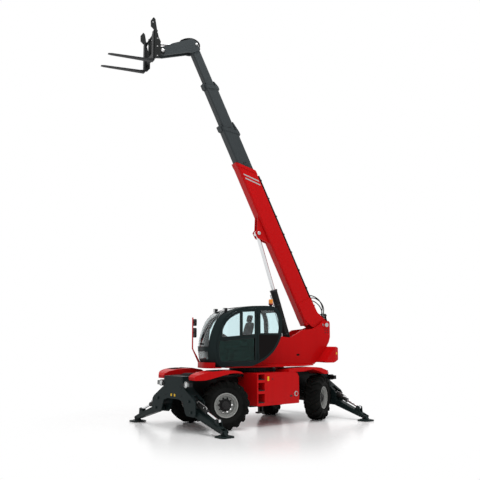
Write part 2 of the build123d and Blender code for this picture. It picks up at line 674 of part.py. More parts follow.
def counterweight():
    """Cast tail weight: a rounded lobe beside each cradle plate and the piece between them."""
    low = BOOM_Y - CRADLE_IN
    lobe = [
        (-1990, TAIL_BOTTOM), (TAIL_X + 250, TAIL_BOTTOM), (TAIL_X + 90, 1610), (TAIL_X, 1720), (TAIL_X, 1860),
        (TAIL_X + 60, 1950), (TAIL_X + 150, 1985), (-2320, 1985),
    ]
    with BuildPart() as weight:
        for y0, y1 in ((BOOM_Y + CRADLE_IN + CRADLE_T, TAIL_LEFT), (TAIL_RIGHT, low - CRADLE_T)):
            side(lobe, y0, y1, round_by=24)
        side([(-2444, 1640), (TAIL_X, 1722), (TAIL_X, 1858), (TAIL_X + 60, 1948), (-2444, 1950)],
             low - CRADLE_T, BOOM_Y + CRADLE_IN + CRADLE_T)
        plan([(-1900, TAIL_LEFT), (TAIL_X + 200, TAIL_LEFT), (TAIL_X + 70, TAIL_LEFT - 60),
              (TAIL_X, TAIL_LEFT - 190), (TAIL_X, TAIL_RIGHT + 190), (TAIL_X + 70, TAIL_RIGHT + 60),
              (TAIL_X + 200, TAIL_RIGHT), (-1900, TAIL_RIGHT)], 1400, 2100,
             mode=Mode.INTERSECT)
    save(weight, "counterweight", TURRET)


def engine_cover():
    """Rounded bonnet over the engine on the right of the boom, with louvres in its outer side."""
    high = BOOM_Y - CRADLE_IN - CRADLE_T
    with BuildPart() as cover:
        side([(380, PLATFORM_TOP), (-1700, PLATFORM_TOP), (-1700, 1930), (-1640, 2010), (-1500, 2060),
              (100, 2060),
              (270, 2000), (380, 1850)], BONNET_OUT, high)
        block((-1620, 300), (BONNET_OUT + 50, high - 50), (PLATFORM_TOP - 10, 1960), mode=Mode.SUBTRACT)
        fillet(cover.edges().filter_by(Axis.X).group_by(Axis.Y)[0].sort_by(Axis.Z)[-1:], 45)
        for step in range(10):
            x = -1500 + step * 90
            block((x, x + 45), (BONNET_OUT - 5, BONNET_OUT + 60), (1620, 1900), mode=Mode.SUBTRACT)
    save(cover, "engine_cover", TURRET)


def engine():
    """Engine as one plain block."""
    high = BOOM_Y - CRADLE_IN - CRADLE_T
    with BuildPart() as motor:
        block((-1400, -300), (BONNET_OUT + 80, high - 60), (PLATFORM_TOP, 1900))
    save(motor, "engine", TURRET)


CAB_RING = [
    (1270, CAB_FLOOR), (1440, 1555), (1520, 1690), (1550, 1850), (1560, 2000), (1530, 2230), (1450, 2480),
    (1340, 2690), (1170, 2850),
    (920, 2975), (630, 3042), (330, CAB_ROOF), (-40, 3055), (-190, 3010), (-285, 2890), (-345, 2710),
    (-360, 2480), (-330, 2285),
    (-250, 2100), (-120, 1905), (80, 1725), (310, 1595), (560, 1518), (800, CAB_FLOOR),
    (1050, CAB_FLOOR - 2),
]


def drawn_in(points, amount):
    """Closed outline moved inwards by amount along the normal at each point."""
    moved = []
    for index, (x, z) in enumerate(points):
        before = points[index - 1]
        after = points[(index + 1) % len(points)]
        run = after[0] - before[0]
        rise = after[1] - before[1]
        size = math.hypot(run, rise)
        moved.append((x - amount * rise / size, z + amount * run / size))
    return moved


def bulged(points, reach):
    """Outline with its front carried forwards by reach and its roof and rear left where they are."""
    return [(x + reach * min(1.0, max(0.0, (x - 500) / 600)), z) for x, z in points]


def cab_solid(inset):
    """Closed cab volume, drawn in from the outer faces by inset: side rings lofted over the bulging front."""
    ring = drawn_in(CAB_RING, inset)
    middle = (CAB_IN + CAB_OUT) / 2
    half = (CAB_OUT - CAB_IN) / 2 - inset
    faces = []
    for part_way in (-1.0, -0.88, -0.62, 0.0, 0.62, 0.88, 1.0):
        reach = CAB_BULGE * (1.0 - part_way ** 4)
        with BuildSketch(Plane.XZ.offset(-(middle + part_way * half))) as face:
            with BuildLine():
                Spline(*bulged(ring, reach), periodic=True)
            make_face()
        faces.append(face.sketch.faces()[0])
    with BuildPart() as volume:
        loft(sections=faces)
    return volume


def arched(points, corners, low, high, mode=Mode.ADD):
    """Smooth curve through points, closed by straight runs over corners, filled from y = low to high."""
    with BuildSketch(Plane.XZ.offset(-high)) as face:
        with BuildLine():
            Spline(*points)
            Polyline(points[-1], *corners, points[0])
        make_face()
    extrude(to_extrude=face.sketch, amount=high - low, mode=mode)


def front_chain(inset, low, rear):
    """Part of the ring, drawn in by inset, that lies above low and ahead of rear, from foot to roof."""
    chain = [point for point in drawn_in(CAB_RING, inset)[:13] if point[1] > low and point[0] > rear]
    return chain


def door_outline(inset, low, rear, mode, span):
    """Door region: the ring's front drawn in by inset, closed at the hinge side by rear and below by low."""
    chain = front_chain(inset, low + 40, rear + 40)
    foot = (chain[0][0] - 30, low)
    arched(chain, [(rear, chain[-1][1] + 4), (rear, low), foot], span[0], span[1], mode)


def sill(x):
    """Height of the middle door rail at x."""
    return SILL + SILL_DROP * (1400 - x)


def door_panes(mode, span):
    """Three window openings of the door: front and rear above the middle rail and the low one."""
    rear = DOOR_REAR + 55
    chain = [point for point in front_chain(DOOR_RING + 52, sill(1400) + 60, 840)]
    arched(chain, [(850, chain[-1][1]), (850, sill(850)), (chain[0][0] + 14, sill(chain[0][0]))], span[0],
           span[1], mode)
    top = chain[-1][1] + 34
    side([(790, sill(790)), (790, top), (rear, top + 22), (rear, sill(rear))], span[0], span[1], mode, 24)
    low = [point for point in front_chain(DOOR_RING + 52, DOOR_LOW + 80, 840) if point[1] < sill(1400) - 110]
    arched(low, [(low[-1][0] - 10, sill(1400) - 80), (rear, sill(rear) - 80), (rear, DOOR_LOW + 55),
                 (low[0][0] - 50, DOOR_LOW + 55)],
           span[0], span[1], mode)


QUARTER_PANE = [(285, 2345), (285, 2950), (-110, 2960), (-215, 2860), (-265, 2700), (-275, 2480),
                (-250, 2330)]
FAR_PANE = [(1380, 2150), (1350, 2430), (1240, 2640), (1080, 2790), (860, 2900), (560, 2955), (-110, 2960),
            (-215, 2860), (-265, 2700), (-275, 2330)]
SCREEN = [(2000, 2010), (2000, 3200), (860, 3200), (860, 2700), (1200, 2300), (1200, 2010)]
LOW_SCREEN = [(2000, 1690), (2000, 1900), (1200, 1900), (1200, 1690)]
REAR_PANE = [(CAB_IN + 100, 2360), (CAB_OUT - 100, 2360), (CAB_OUT - 100, 2900), (CAB_IN + 100, 2900)]
ROOF_PANE = [(700, CAB_IN + 100), (700, CAB_OUT - 100), (-40, CAB_OUT - 100), (-40, CAB_IN + 100)]


def cab_windows(mode):
    """Window openings of the cab shell, run through its walls."""
    side(QUARTER_PANE, CAB_OUT - CAB_WALL - 8, CAB_OUT + 5, mode, 40)
    side(FAR_PANE, CAB_IN - 5, CAB_IN + CAB_WALL + 8, mode, 40)
    side(SCREEN, CAB_IN + 95, CAB_OUT - 95, mode)
    side(LOW_SCREEN, CAB_IN + 120, CAB_OUT - 120, mode)
    front(REAR_PANE, -420, -200, mode, 40)
    plan(ROOF_PANE, CAB_ROOF - 140, CAB_ROOF + 20, mode, 40)


def cab_frame(outer):
    """Hollow cab shell with the door opening and the windows cut through."""
    inner = cab_solid(CAB_WALL)
    with BuildPart() as shell:
        add(outer.part)
        add(inner.part, mode=Mode.SUBTRACT)
        door_outline(DOOR_RING - DOOR_GAP, DOOR_LOW - DOOR_GAP, DOOR_REAR - DOOR_GAP, Mode.SUBTRACT,
                     (CAB_OUT - CAB_WALL - 8, CAB_OUT + 5))
        cab_windows(Mode.SUBTRACT)
        for z in DOOR_HINGE_Z:
            x = DOOR_HINGE_X
            for low, high in ((z - 50, z - 16), (z + 16, z + 50)):
                bar((x, DOOR_HINGE_Y, low), (x, DOOR_HINGE_Y, high), DOOR_HINGE_R)
                block((x - 36, x), (CAB_OUT - 4, DOOR_HINGE_Y + 6), (low, high))
            bar((x, DOOR_HINGE_Y, z - 50), (x, DOOR_HINGE_Y, z + 50), DOOR_PIN_R)
    save(shell, "cab_frame", TURRET)
    return shell


def cab_glass():
    """Panes set in the cab shell's openings."""
    outer = cab_solid(GLASS_IN)
    inner = cab_solid(GLASS_IN + GLASS_T)
    with BuildPart() as windows:
        cab_windows(Mode.ADD)
        add(outer.part, mode=Mode.INTERSECT)
        add(inner.part, mode=Mode.SUBTRACT)
    save(windows, "cab_glass", TURRET)


def cab_door():
    """Door leaf with its window openings and hinge knuckles, and the panes in it."""
    with BuildPart() as leaf:
        door_outline(DOOR_RING, DOOR_LOW, DOOR_REAR, Mode.ADD, (CAB_OUT - DOOR_T, CAB_OUT))
        door_panes(Mode.SUBTRACT, (CAB_OUT - DOOR_T - 5, CAB_OUT + 5))
        for z in DOOR_HINGE_Z:
            x = DOOR_HINGE_X
            bar((x, DOOR_HINGE_Y, z - 15), (x, DOOR_HINGE_Y, z + 15), DOOR_HINGE_R)
            block((x, x + 90), (CAB_OUT, CAB_OUT + 10), (z - 15, z + 15))
            bar((x, DOOR_HINGE_Y, z - 15), (x, DOOR_HINGE_Y, z + 15), DOOR_PIN_R + PIN_FIT,
                mode=Mode.SUBTRACT)
        x = 1330
        block((x - 90, x + 60), (CAB_OUT - 1, CAB_OUT + 12), (sill(x) - 62, sill(x) - 22))
    save(leaf, "cab_door", TURRET)
    with BuildPart() as panes:
        door_panes(Mode.ADD, (CAB_OUT - DOOR_T + 12, CAB_OUT - DOOR_T + 12 + GLASS_T))
    save(panes, "door_glass", TURRET)


def cab_inside(shell):
    """Seat on its pedestal, and the console with the steering wheel."""
    mid = (CAB_IN + CAB_OUT) / 2
    floor = CAB_FLOOR + CAB_WALL
    with BuildPart() as seat:
        block((560, 930), (mid - 170, mid + 170), (floor - 20, floor + 330))
        side([(450, floor + 330), (1000, floor + 330), (1020, floor + 400), (1000, floor + 450),
              (600, floor + 440),
              (430, floor + 1080), (330, floor + 1080)], mid - 240, mid + 240, round_by=18)
        side([(350, floor + 1070), (430, floor + 1070), (400, floor + 1250), (330, floor + 1250)], mid - 130,
             mid + 130, round_by=18)
        for flank in (1, -1):
            side([(520, floor + 560), (900, floor + 600), (900, floor + 650), (500, floor + 640)],
                 mid + flank * 290 - 40, mid + flank * 290 + 40, round_by=10)
            bar((540, mid + flank * 200, floor + 500), (540, mid + flank * 290, floor + 590), 20)
        add(shell.part, mode=Mode.SUBTRACT)
    save(seat, "seat", TURRET)
    with BuildPart() as desk:
        side([(1130, floor - 20), (1300, floor - 20), (1400, floor + 320), (1330, floor + 600),
              (1220, floor + 620)],
             mid - 130, mid + 130, round_by=20)
        with Locations(Location((1130, mid, floor + 700), (0, -35, 0))):
            Torus(185, 17)
            Cylinder(40, 60)
            Box(350, 40, 20)
        bar((1130, mid, floor + 690), (1260, mid, floor + 540), 32)
        add(shell.part, mode=Mode.SUBTRACT)
    save(desk, "controls", TURRET)


def bow(reach, narrow):
    """Top view curve ahead of the cab's bulging front, reach further out and drawn in sideways by narrow."""
    middle = (CAB_IN + CAB_OUT) / 2
    half = (CAB_OUT - CAB_IN) / 2
    ways = (-0.96, -0.88, -0.7, -0.4, 0.0, 0.4, 0.7, 0.88, 0.96)
    return [(BUMPER_X + reach + CAB_BULGE * (1.0 - way ** 4),
             middle + way * (half - narrow)) for way in ways]


def bowed(near, far, low, high):
    """Region between two top view curves, filled from z = low to z = high."""
    with BuildSketch(Plane.XY.offset(low)) as face:
        with BuildLine():
            Spline(*near)
            Line(near[-1], far[-1])
            Spline(*far)
            Line(near[0], far[0])
        make_face()
    extrude(to_extrude=face.sketch, amount=high - low)


def cab_trim():
    """Curved bumper ahead of the cab's foot, on a bracket from the platform, with the mirror bar."""
    inner = bow(0.0, 0.0)
    outer = bow(BUMPER_T, 12.0)
    keel = [(BUMPER_X - 140, y) for x, y in inner]
    with BuildPart() as trim:
        bowed(inner, outer, BUMPER_Z[0], BUMPER_Z[1])
        bowed(keel, outer, BUMPER_Z[0], PLATFORM_TOP)
        block((PLATFORM_FRONT, BUMPER_X - 130), (CAB_IN + 300, CAB_OUT - 300), (BUMPER_Z[0], PLATFORM_TOP))
        y = MIRROR_Y
        bar((1645, y, BUMPER_Z[0] + 50), (MIRROR_X, y, 1960), 17)
        bar((1650, y, BUMPER_Z[1] - 20), (MIRROR_X, y, 1955), 15)
        bar((MIRROR_X, y, 1950), (MIRROR_X, y, MIRROR_TOP), 17)
    save(trim, "cab_trim", TURRET)


def cab_fittings(outer):
    """Mirrors on their bar, work lamps on the roof's front and the beacon's stand."""
    with BuildPart() as fittings:
        for z, high in ((2240, 250), (2540, 180)):
            with BuildSketch(Plane.YZ.offset(MIRROR_X - 78)) as face:
                with Locations((MIRROR_Y, z + high / 2)):
                    RectangleRounded(190, high, 50)
            extrude(to_extrude=face.sketch, amount=44)
            bar((MIRROR_X - 40, MIRROR_Y, z + high / 2), (MIRROR_X - 17, MIRROR_Y, z + high / 2), 14)
        bar((-150, CAB_OUT - 250, CAB_ROOF - 40), (-150, CAB_OUT - 250, CAB_ROOF + 70), 42)
        for y in (CAB_IN + 130, CAB_OUT - 130):
            block((1180, 1260), (y - 60, y + 60), (ROOF_LAMP_Z, ROOF_LAMP_Z + 90))
            bar((1200, y, 2820), (1200, y, ROOF_LAMP_Z + 10), 18)
        add(outer.part, mode=Mode.SUBTRACT)
    save(fittings, "cab_fittings", TURRET)
    with BuildPart() as light:
        bar((-150, CAB_OUT - 250, CAB_ROOF + 70), (-150, CAB_OUT - 250, CAB_ROOF + 190), 56)
        fillet(light.edges().group_by(Axis.Z)[-1], 26)
    save(light, "beacon", TURRET)


def section_face(index, grow, start):
    """Rounded cross-section of a boom section, grown by grow, on a plane across the boom at start."""
    with BuildSketch(Plane.YZ.offset(start)) as face:
        with Locations((0, SEC_OFF)):
            RectangleRounded(SEC_W[index] + 2 * grow, SEC_H[index] + 2 * grow, SEC_EDGE[index] + grow)
    return face.sketch


def section(index):
    """One box section of the telescope, open at both ends, with a raked front end and its end band."""
    end = SEC_END[index]
    start = end - SEC_LONG[index]
    rake = SEC_RAKE[index]
    top = SEC_OFF + SEC_H[index] / 2 + BAND_T
    bottom = SEC_OFF - SEC_H[index] / 2 - BAND_T
    band = end - rake - BAND_LONG
    with BuildPart() as tube:
        if BAND_LONG and index < 3:
            extrude(to_extrude=section_face(index, BAND_T, band), amount=end - band)
            side([(band - 5, top + 5), (band, top + 5), (band + rake, bottom - 5), (band - 5, bottom - 5)],
                 -SEC_W[index], SEC_W[index], mode=Mode.SUBTRACT)
        extrude(to_extrude=section_face(index, 0.0, start), amount=end - start)
        extrude(to_extrude=section_face(index, -SEC_WALL[index], start - 5), amount=end - start + 10,
                mode=Mode.SUBTRACT)
        if rake:
            side([(end - rake, top + 5), (end + 5, top + 5), (end + 5, bottom - 5), (end, bottom - 5)],
                 -SEC_W[index], SEC_W[index], mode=Mode.SUBTRACT)
    return tube


def wear_pads(index):
    """Slide pads inside the front of a section that carry the next one."""
    end = SEC_END[index] - SEC_RAKE[index]
    wall = SEC_WALL[index]
    for level in (1, -1):
        shift = 0 if level > 0 else SEC_RAKE[index]
        along = (end + shift - 200, end + shift - 30)
        outer = SEC_OFF + level * (SEC_H[index] / 2 - wall + 1)
        inner = SEC_OFF + level * (SEC_H[index + 1] / 2 + SLIDE_FIT)
        block(along, (-60, 60), tuple(sorted((outer, inner))))
        along = (end + SEC_RAKE[index] / 2 - 240, end + SEC_RAKE[index] / 2 - 80)
        far = level * (SEC_W[index] / 2 - wall + 1)
        near = level * (SEC_W[index + 1] / 2 + SLIDE_FIT)
        block(along, tuple(sorted((far, near))), (SEC_OFF - 50, SEC_OFF + 50))


def end_guides(index):
    """Sloping guide on top of a section's end and the pad holder under it."""
    end = SEC_END[index]
    tip = end - SEC_RAKE[index]
    top = SEC_OFF + SEC_H[index] / 2
    under = SEC_OFF - SEC_H[index] / 2
    next_top = SEC_OFF + SEC_H[index + 1] / 2
    next_under = SEC_OFF - SEC_H[index + 1] / 2
    wide = SEC_W[index + 1] / 2
    side([(tip - BAND_LONG - 40, top), (tip - BAND_LONG, top + GUIDE_T), (tip - 20, top + GUIDE_T),
          (end + GUIDE_LIP, next_top + 18),
          (end + GUIDE_LIP, next_top + RUN_GAP), (tip - 10, next_top + RUN_GAP), (tip - 10, top - 6),
          (tip - BAND_LONG - 40, top - 6)],
         -wide, wide)
    side([(end - HOLDER_LONG, under + 6), (end - HOLDER_LONG, under - 34), (end - HOLDER_LONG + 40, under - 50),
          (end + 40, under - 50),
          (end + 40, next_under - RUN_GAP),
          (end - 2, next_under - RUN_GAP), (end - 2, under + 6)], -wide + 30, wide - 30)


def boom():
    """Telescope: base section with foot lugs and lift bracket, two middle sections and the head section."""
    base = section(0)
    top = SEC_OFF + SEC_H[0] / 2
    bottom = SEC_OFF - SEC_H[0] / 2
    with BuildPart() as lower:
        add(base.part)
        foot = [(-110, 60), (-60, 115), (60, 115), (420, top + 20), (900, top), (900, bottom + 40),
                (420, bottom + 30),
                (130, bottom + 160), (-80, -120)]
        for low in (SEC_W[0] / 2, -SEC_W[0] / 2 - 24):
            side(foot, low, low + 24, round_by=20)
        block((230, 262), (-SEC_W[0] / 2 - 1, SEC_W[0] / 2 + 1), (bottom + 60, top - 60))
        bar((0, -SEC_W[0] / 2 - 30, 0), (0, SEC_W[0] / 2 + 30, 0), 100)
        bar((0, -SEC_W[0], 0), (0, SEC_W[0], 0), FOOT_PIN_R + PIN_FIT, mode=Mode.SUBTRACT)
        lug = [(LIFT_EYE_L - 420, bottom + 30), (LIFT_EYE_L - 120, LIFT_EYE_T - 80),
               (LIFT_EYE_L + 60, LIFT_EYE_T - 90),
               (LIFT_EYE_L + 110, LIFT_EYE_T), (LIFT_EYE_L + 520, bottom + 30)]
        for low in (LIFT_EYE_HALF + SIDE_GAP, -LIFT_EYE_HALF - SIDE_GAP - 30):
            side(lug, low, low + 30)
        for low, high in ((LIFT_EYE_HALF + SIDE_GAP, 130), (-130, -LIFT_EYE_HALF - SIDE_GAP)):
            bar((LIFT_EYE_L, low, LIFT_EYE_T), (LIFT_EYE_L, high, LIFT_EYE_T), 62)
        wear_pads(0)
    save(lower, "boom_base", BOOM)
    with BuildPart() as pipes:
        last = SEC_END[0] - SEC_RAKE[0] - BAND_LONG - 30
        for y in PIPE_Y:
            bar((480, y, top + PIPE_LIFT + PIPE_R), (last, y, top + PIPE_LIFT + PIPE_R), PIPE_R)
        for number in range(8):
            along = 620 + number * (last - 800) / 7
            block((along, along + 46), (PIPE_Y[0] - 30, PIPE_Y[-1] + 30), (top, top + 2 * (PIPE_R + PIPE_LIFT)))
    save(pipes, "boom_pipes", BOOM)
    for index in (1, 2):
        tube = section(index)
        with BuildPart() as middle:
            add(tube.part)
            end_guides(index)
            wear_pads(index)
        save(middle, f"boom_{index + 1}", BOOM)
    tip = section(3)
    with BuildPart() as last:
        add(tip.part)
        end = SEC_END[3]
        low_z = SEC_OFF - SEC_H[3] / 2
        neck = [(end - 90, SEC_OFF + 90), (end + 150, SEC_OFF + 140), (end + 300, SEC_OFF + 10),
                (HEAD_L + 130, -900),
                (HEAD_L + 110, HEAD_T), (HEAD_L + 60, HEAD_T - 95), (HEAD_L - 60, HEAD_T - 95),
                (HEAD_L - 120, HEAD_T + 20),
                (end - 40, -560), (end - 90, low_z - 20)]
        wide = SEC_W[3] / 2
        for y0, y1 in ((HEAD_IN, wide + HEAD_PLATE), (-wide - HEAD_PLATE, -HEAD_IN)):
            side(neck, y0, y1, round_by=30)
        bar((TILT_L, -wide - HEAD_PLATE - 14, TILT_T), (TILT_L, wide + HEAD_PLATE + 14, TILT_T), TILT_PIN_R)
        bar((HEAD_L, -wide - HEAD_PLATE - 60, HEAD_T), (HEAD_L, wide + HEAD_PLATE + 60, HEAD_T), HEAD_PIN_R)
    save(last, "boom_4", BOOM)


def lift_cylinder():
    """Lift ram under the boom: barrel on the turret's pin, rod to the boom's bracket."""
    place = TURRET * Location((LIFT_X, BOOM_Y, LIFT_Z), (0, -LIFT_ANGLE, 0))
    with BuildPart() as barrel:
        bar((200, 0, 0), (LIFT_BARREL_L, 0, 0), LIFT_BARREL_R)
        with BuildSketch(Plane.XZ.offset(-LIFT_EYE_HALF)) as face:
            Circle(100)
            with Locations((110, 0)):
                Rectangle(220, 150)
            Circle(LIFT_PIN_R + PIN_FIT, mode=Mode.SUBTRACT)
        extrude(to_extrude=face.sketch, amount=2 * LIFT_EYE_HALF)
        bar((260, 0, 0), (LIFT_BARREL_L, 0, 0), LIFT_ROD_R + PIN_FIT, mode=Mode.SUBTRACT)
    save(barrel, "lift_barrel", place)
    with BuildPart() as rod:
        bar((LIFT_BARREL_L - 250, 0, 0), (LIFT_SPAN, 0, 0), LIFT_ROD_R)
        bar((LIFT_SPAN, -LIFT_EYE_HALF, 0), (LIFT_SPAN, LIFT_EYE_HALF, 0), LIFT_EYE_R)
    save(rod, "lift_rod", place)


def tilt_cylinder():
    """Tilt ram between the head's plates."""
    place = TURRET * Location((TILT_FOOT[0], BOOM_Y, TILT_FOOT[1]), (0, -TILT_ANGLE, 0))
    with BuildPart() as barrel:
        bar((40, 0, 0), (TILT_BARREL_L, 0, 0), TILT_BARREL_R)
        bar((0, -TILT_EYE_HALF, 0), (0, TILT_EYE_HALF, 0), TILT_EYE_BOSS)
        bar((120, 0, 0), (TILT_BARREL_L, 0, 0), TILT_ROD_R + PIN_FIT, mode=Mode.SUBTRACT)
        bar((0, -TILT_EYE_HALF, 0), (0, TILT_EYE_HALF, 0), TILT_PIN_R + PIN_FIT, mode=Mode.SUBTRACT)
    save(barrel, "tilt_barrel", place)
    with BuildPart() as rod:
        bar((420, 0, 0), (TILT_SPAN, 0, 0), TILT_ROD_R)
        bar((TILT_SPAN, -TILT_EYE_HALF, 0), (TILT_SPAN, TILT_EYE_HALF, 0), TILT_EYE_BOSS)
    save(rod, "tilt_rod", place)


def carriage():
    """Fork carriage hung on the head's pin: side plates, two cross bars and the ears of the tilt ram."""
    x, z = HEAD_PIN
    place = TURRET * Location((x, BOOM_Y, z))
    wide = SEC_W[3] / 2 + HEAD_PLATE + 10
    eye = spot(0, 0, TILT_EYE_R, 0, TILT_EYE_ANGLE)
    face = FORK_HEEL_DX - FORK_T
    with BuildPart() as rack:
        for y0, y1 in ((wide, wide + 30), (-wide - 30, -wide)):
            side([(-75, -50), (-30, -85), (60, -95), (face - 2, -200), (face - 2, 420), (face - 70, 420),
                  (110, 130),
                  (-30, 85), (-75, 50)], y0, y1)
        bar((face - 33, -FORK_SPACE / 2 - 90, 380), (face - 33, FORK_SPACE / 2 + 90, 380), 32)
        block((face - 80, face), (-FORK_SPACE / 2 - 90, FORK_SPACE / 2 + 90), (-260, -150))
        for flank in (1, -1):
            y = flank * (FORK_SPACE / 2 + 82)
            side([(150, -290), (230, -390), (face + 18, -400), (face + 18, 380), (440, 480), (445, 640),
                  (370, 752), (318, 700),
                  (face - 40, 420), (216, 203), (156, 91)], y - 15, y + 15, round_by=14)
        bar((0, -wide - 50, 0), (0, wide + 50, 0), HEAD_PIN_R + PIN_FIT, mode=Mode.SUBTRACT)
        for y0, y1 in ((TILT_EYE_HALF + SIDE_GAP, TILT_EYE_HALF + SIDE_GAP + 24),
                       (-TILT_EYE_HALF - SIDE_GAP - 24, -TILT_EYE_HALF - SIDE_GAP)):
            side([(eye[0] - 50, eye[1] + 40), (eye[0] + 40, eye[1] + 50), (face - 20, -150),
                  (face - 20, -250)], y0, y1)
    save(rack, "carriage", place)
    with BuildPart() as tines:
        heel = FORK_HEEL_DX
        base = FORK_HEEL_DZ
        for flank in (1, -1):
            y = flank * FORK_SPACE / 2
            side([(heel - FORK_T, base + 30), (heel - FORK_T + 30, base), (heel + FORK_LONG, base),
                  (heel + FORK_LONG, base + 14),
                  (heel + 120, base + FORK_T), (heel, base + FORK_T + 20), (heel, 350),
                  (heel - FORK_T, 350)],
                 y - FORK_W / 2, y + FORK_W / 2)
            plan([(heel + FORK_LONG - 90, y + FORK_W / 2), (heel + FORK_LONG + 5, y + 34),
                  (heel + FORK_LONG + 5, y + FORK_W / 2 + 5)],
                 base - 5, base + FORK_T, mode=Mode.SUBTRACT)
            plan([(heel + FORK_LONG - 90, y - FORK_W / 2), (heel + FORK_LONG + 5, y - 34),
                  (heel + FORK_LONG + 5, y - FORK_W / 2 - 5)],
                 base - 5, base + FORK_T, mode=Mode.SUBTRACT)
    save(tines, "forks", place)


CORNERS = (("fl", 1, 1), ("fr", 1, -1), ("rl", -1, 1), ("rr", -1, -1))


def main():
    chassis_frame()
    stabiliser_frames()
    fenders()
    side_boxes()
    steps()
    axles()
    slew_ring()
    lamps()
    tyres = {1: tyre_shape(LUG_LEAD), -1: tyre_shape(-LUG_LEAD)}
    for name, end, flank in CORNERS:
        angle = STEER_FRONT_REST if end > 0 else STEER_REAR_REST
        knuckle(f"knuckle_{name}", end, flank, angle)
        rim(f"rim_{name}", wheel_place(end, flank, angle))
        save(tyres[flank], f"tyre_{name}", wheel_place(end, flank, angle))
        place = stab_place(end, flank)
        stab_arm(f"stab_arm_{name}", place)
        stab_barrel(f"stab_barrel_{name}", place)
        stab_rod(f"stab_rod_{name}", place)
        pad(f"pad_{name}", place)
    cab = cab_solid(0.0)
    turret_frame(cab)
    counterweight()
    engine_cover()
    engine()
    shell = cab_frame(cab)
    cab_glass()
    cab_door()
    cab_inside(shell)
    cab_trim()
    cab_fittings(cab)
    boom()
    lift_cylinder()
    tilt_cylinder()
    carriage()


if __name__ == "__main__":
    main()
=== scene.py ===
import json
import math
import bmesh
import bpy
import numpy as np
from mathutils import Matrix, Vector


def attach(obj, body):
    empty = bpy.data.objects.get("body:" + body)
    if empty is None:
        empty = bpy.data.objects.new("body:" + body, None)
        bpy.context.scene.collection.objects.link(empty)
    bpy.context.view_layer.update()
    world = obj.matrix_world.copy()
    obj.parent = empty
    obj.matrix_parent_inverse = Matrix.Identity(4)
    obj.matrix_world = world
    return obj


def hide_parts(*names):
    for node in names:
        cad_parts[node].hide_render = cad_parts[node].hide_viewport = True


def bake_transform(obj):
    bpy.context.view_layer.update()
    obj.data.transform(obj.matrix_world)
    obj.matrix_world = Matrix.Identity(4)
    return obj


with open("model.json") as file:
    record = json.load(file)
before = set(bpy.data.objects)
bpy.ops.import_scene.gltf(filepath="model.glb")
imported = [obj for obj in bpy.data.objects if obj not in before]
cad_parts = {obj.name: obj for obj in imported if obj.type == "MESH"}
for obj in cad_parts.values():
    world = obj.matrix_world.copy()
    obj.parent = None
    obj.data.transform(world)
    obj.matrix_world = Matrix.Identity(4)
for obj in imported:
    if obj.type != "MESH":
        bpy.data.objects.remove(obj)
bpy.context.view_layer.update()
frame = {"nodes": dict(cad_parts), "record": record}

# Sizes and places, metres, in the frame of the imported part.
SLEW_X = -0.740
SLEW = math.radians(-15.3)
BOOM_FOOT = (-2.320, -0.200, 2.600)
BOOM_Y = BOOM_FOOT[1]
BOOM_RISE = math.radians(64.6)


def on_chassis(points):
    """Chassis points, drawn from the slew axis."""
    return np.asarray(points, float) + (SLEW_X, 0, 0)


def turret(points):
    """Turret points, drawn looking ahead from the slew axis, turned by the slew angle."""
    p = np.asarray(points, float).reshape(-1, 3)
    c, s = math.cos(SLEW), math.sin(SLEW)
    return np.stack([p[:, 0] * c - p[:, 1] * s + SLEW_X, p[:, 0] * s + p[:, 1] * c, p[:, 2]], 1)


def boom_spot(l, t):
    """Turret x and z of a boom point, l along the boom from the foot pin and t across it."""
    c, s = math.cos(BOOM_RISE), math.sin(BOOM_RISE)
    return BOOM_FOOT[0] + l * c - t * s, BOOM_FOOT[2] + l * s + t * c


def boom(points):
    """Boom points (along, left, across) from the foot pin, raised by the boom angle and set on the turret."""
    p = np.asarray(points, float).reshape(-1, 3)
    x, z = boom_spot(p[:, 0], p[:, 2])
    return turret(np.stack([x, BOOM_Y + p[:, 1], z], 1))


# Shader helpers.


def new_group(name, inputs, outputs):
    """Empty shader node group with the named float or colour sockets."""
    tree = bpy.data.node_groups.new(name, "ShaderNodeTree")
    kinds = {"f": "NodeSocketFloat", "c": "NodeSocketColor"}
    for label, kind, value in inputs:
        socket = tree.interface.new_socket(label, in_out="INPUT", socket_type=kinds[kind])
        socket.default_value = value
    for label, kind in outputs:
        tree.interface.new_socket(label, in_out="OUTPUT", socket_type=kinds[kind])
    return tree, tree.nodes.new("NodeGroupInput"), tree.nodes.new("NodeGroupOutput")


def node(tree, kind, **values):
    """New node with its properties and unlinked sockets set."""
    made = tree.nodes.new(kind)
    for key, value in values.items():
        if key.startswith("in_"):
            slot = key[3:]
            made.inputs[int(slot) if slot.isdigit() else slot.replace("_", " ")].default_value = value
        else:
            setattr(made, key, value)
    return made


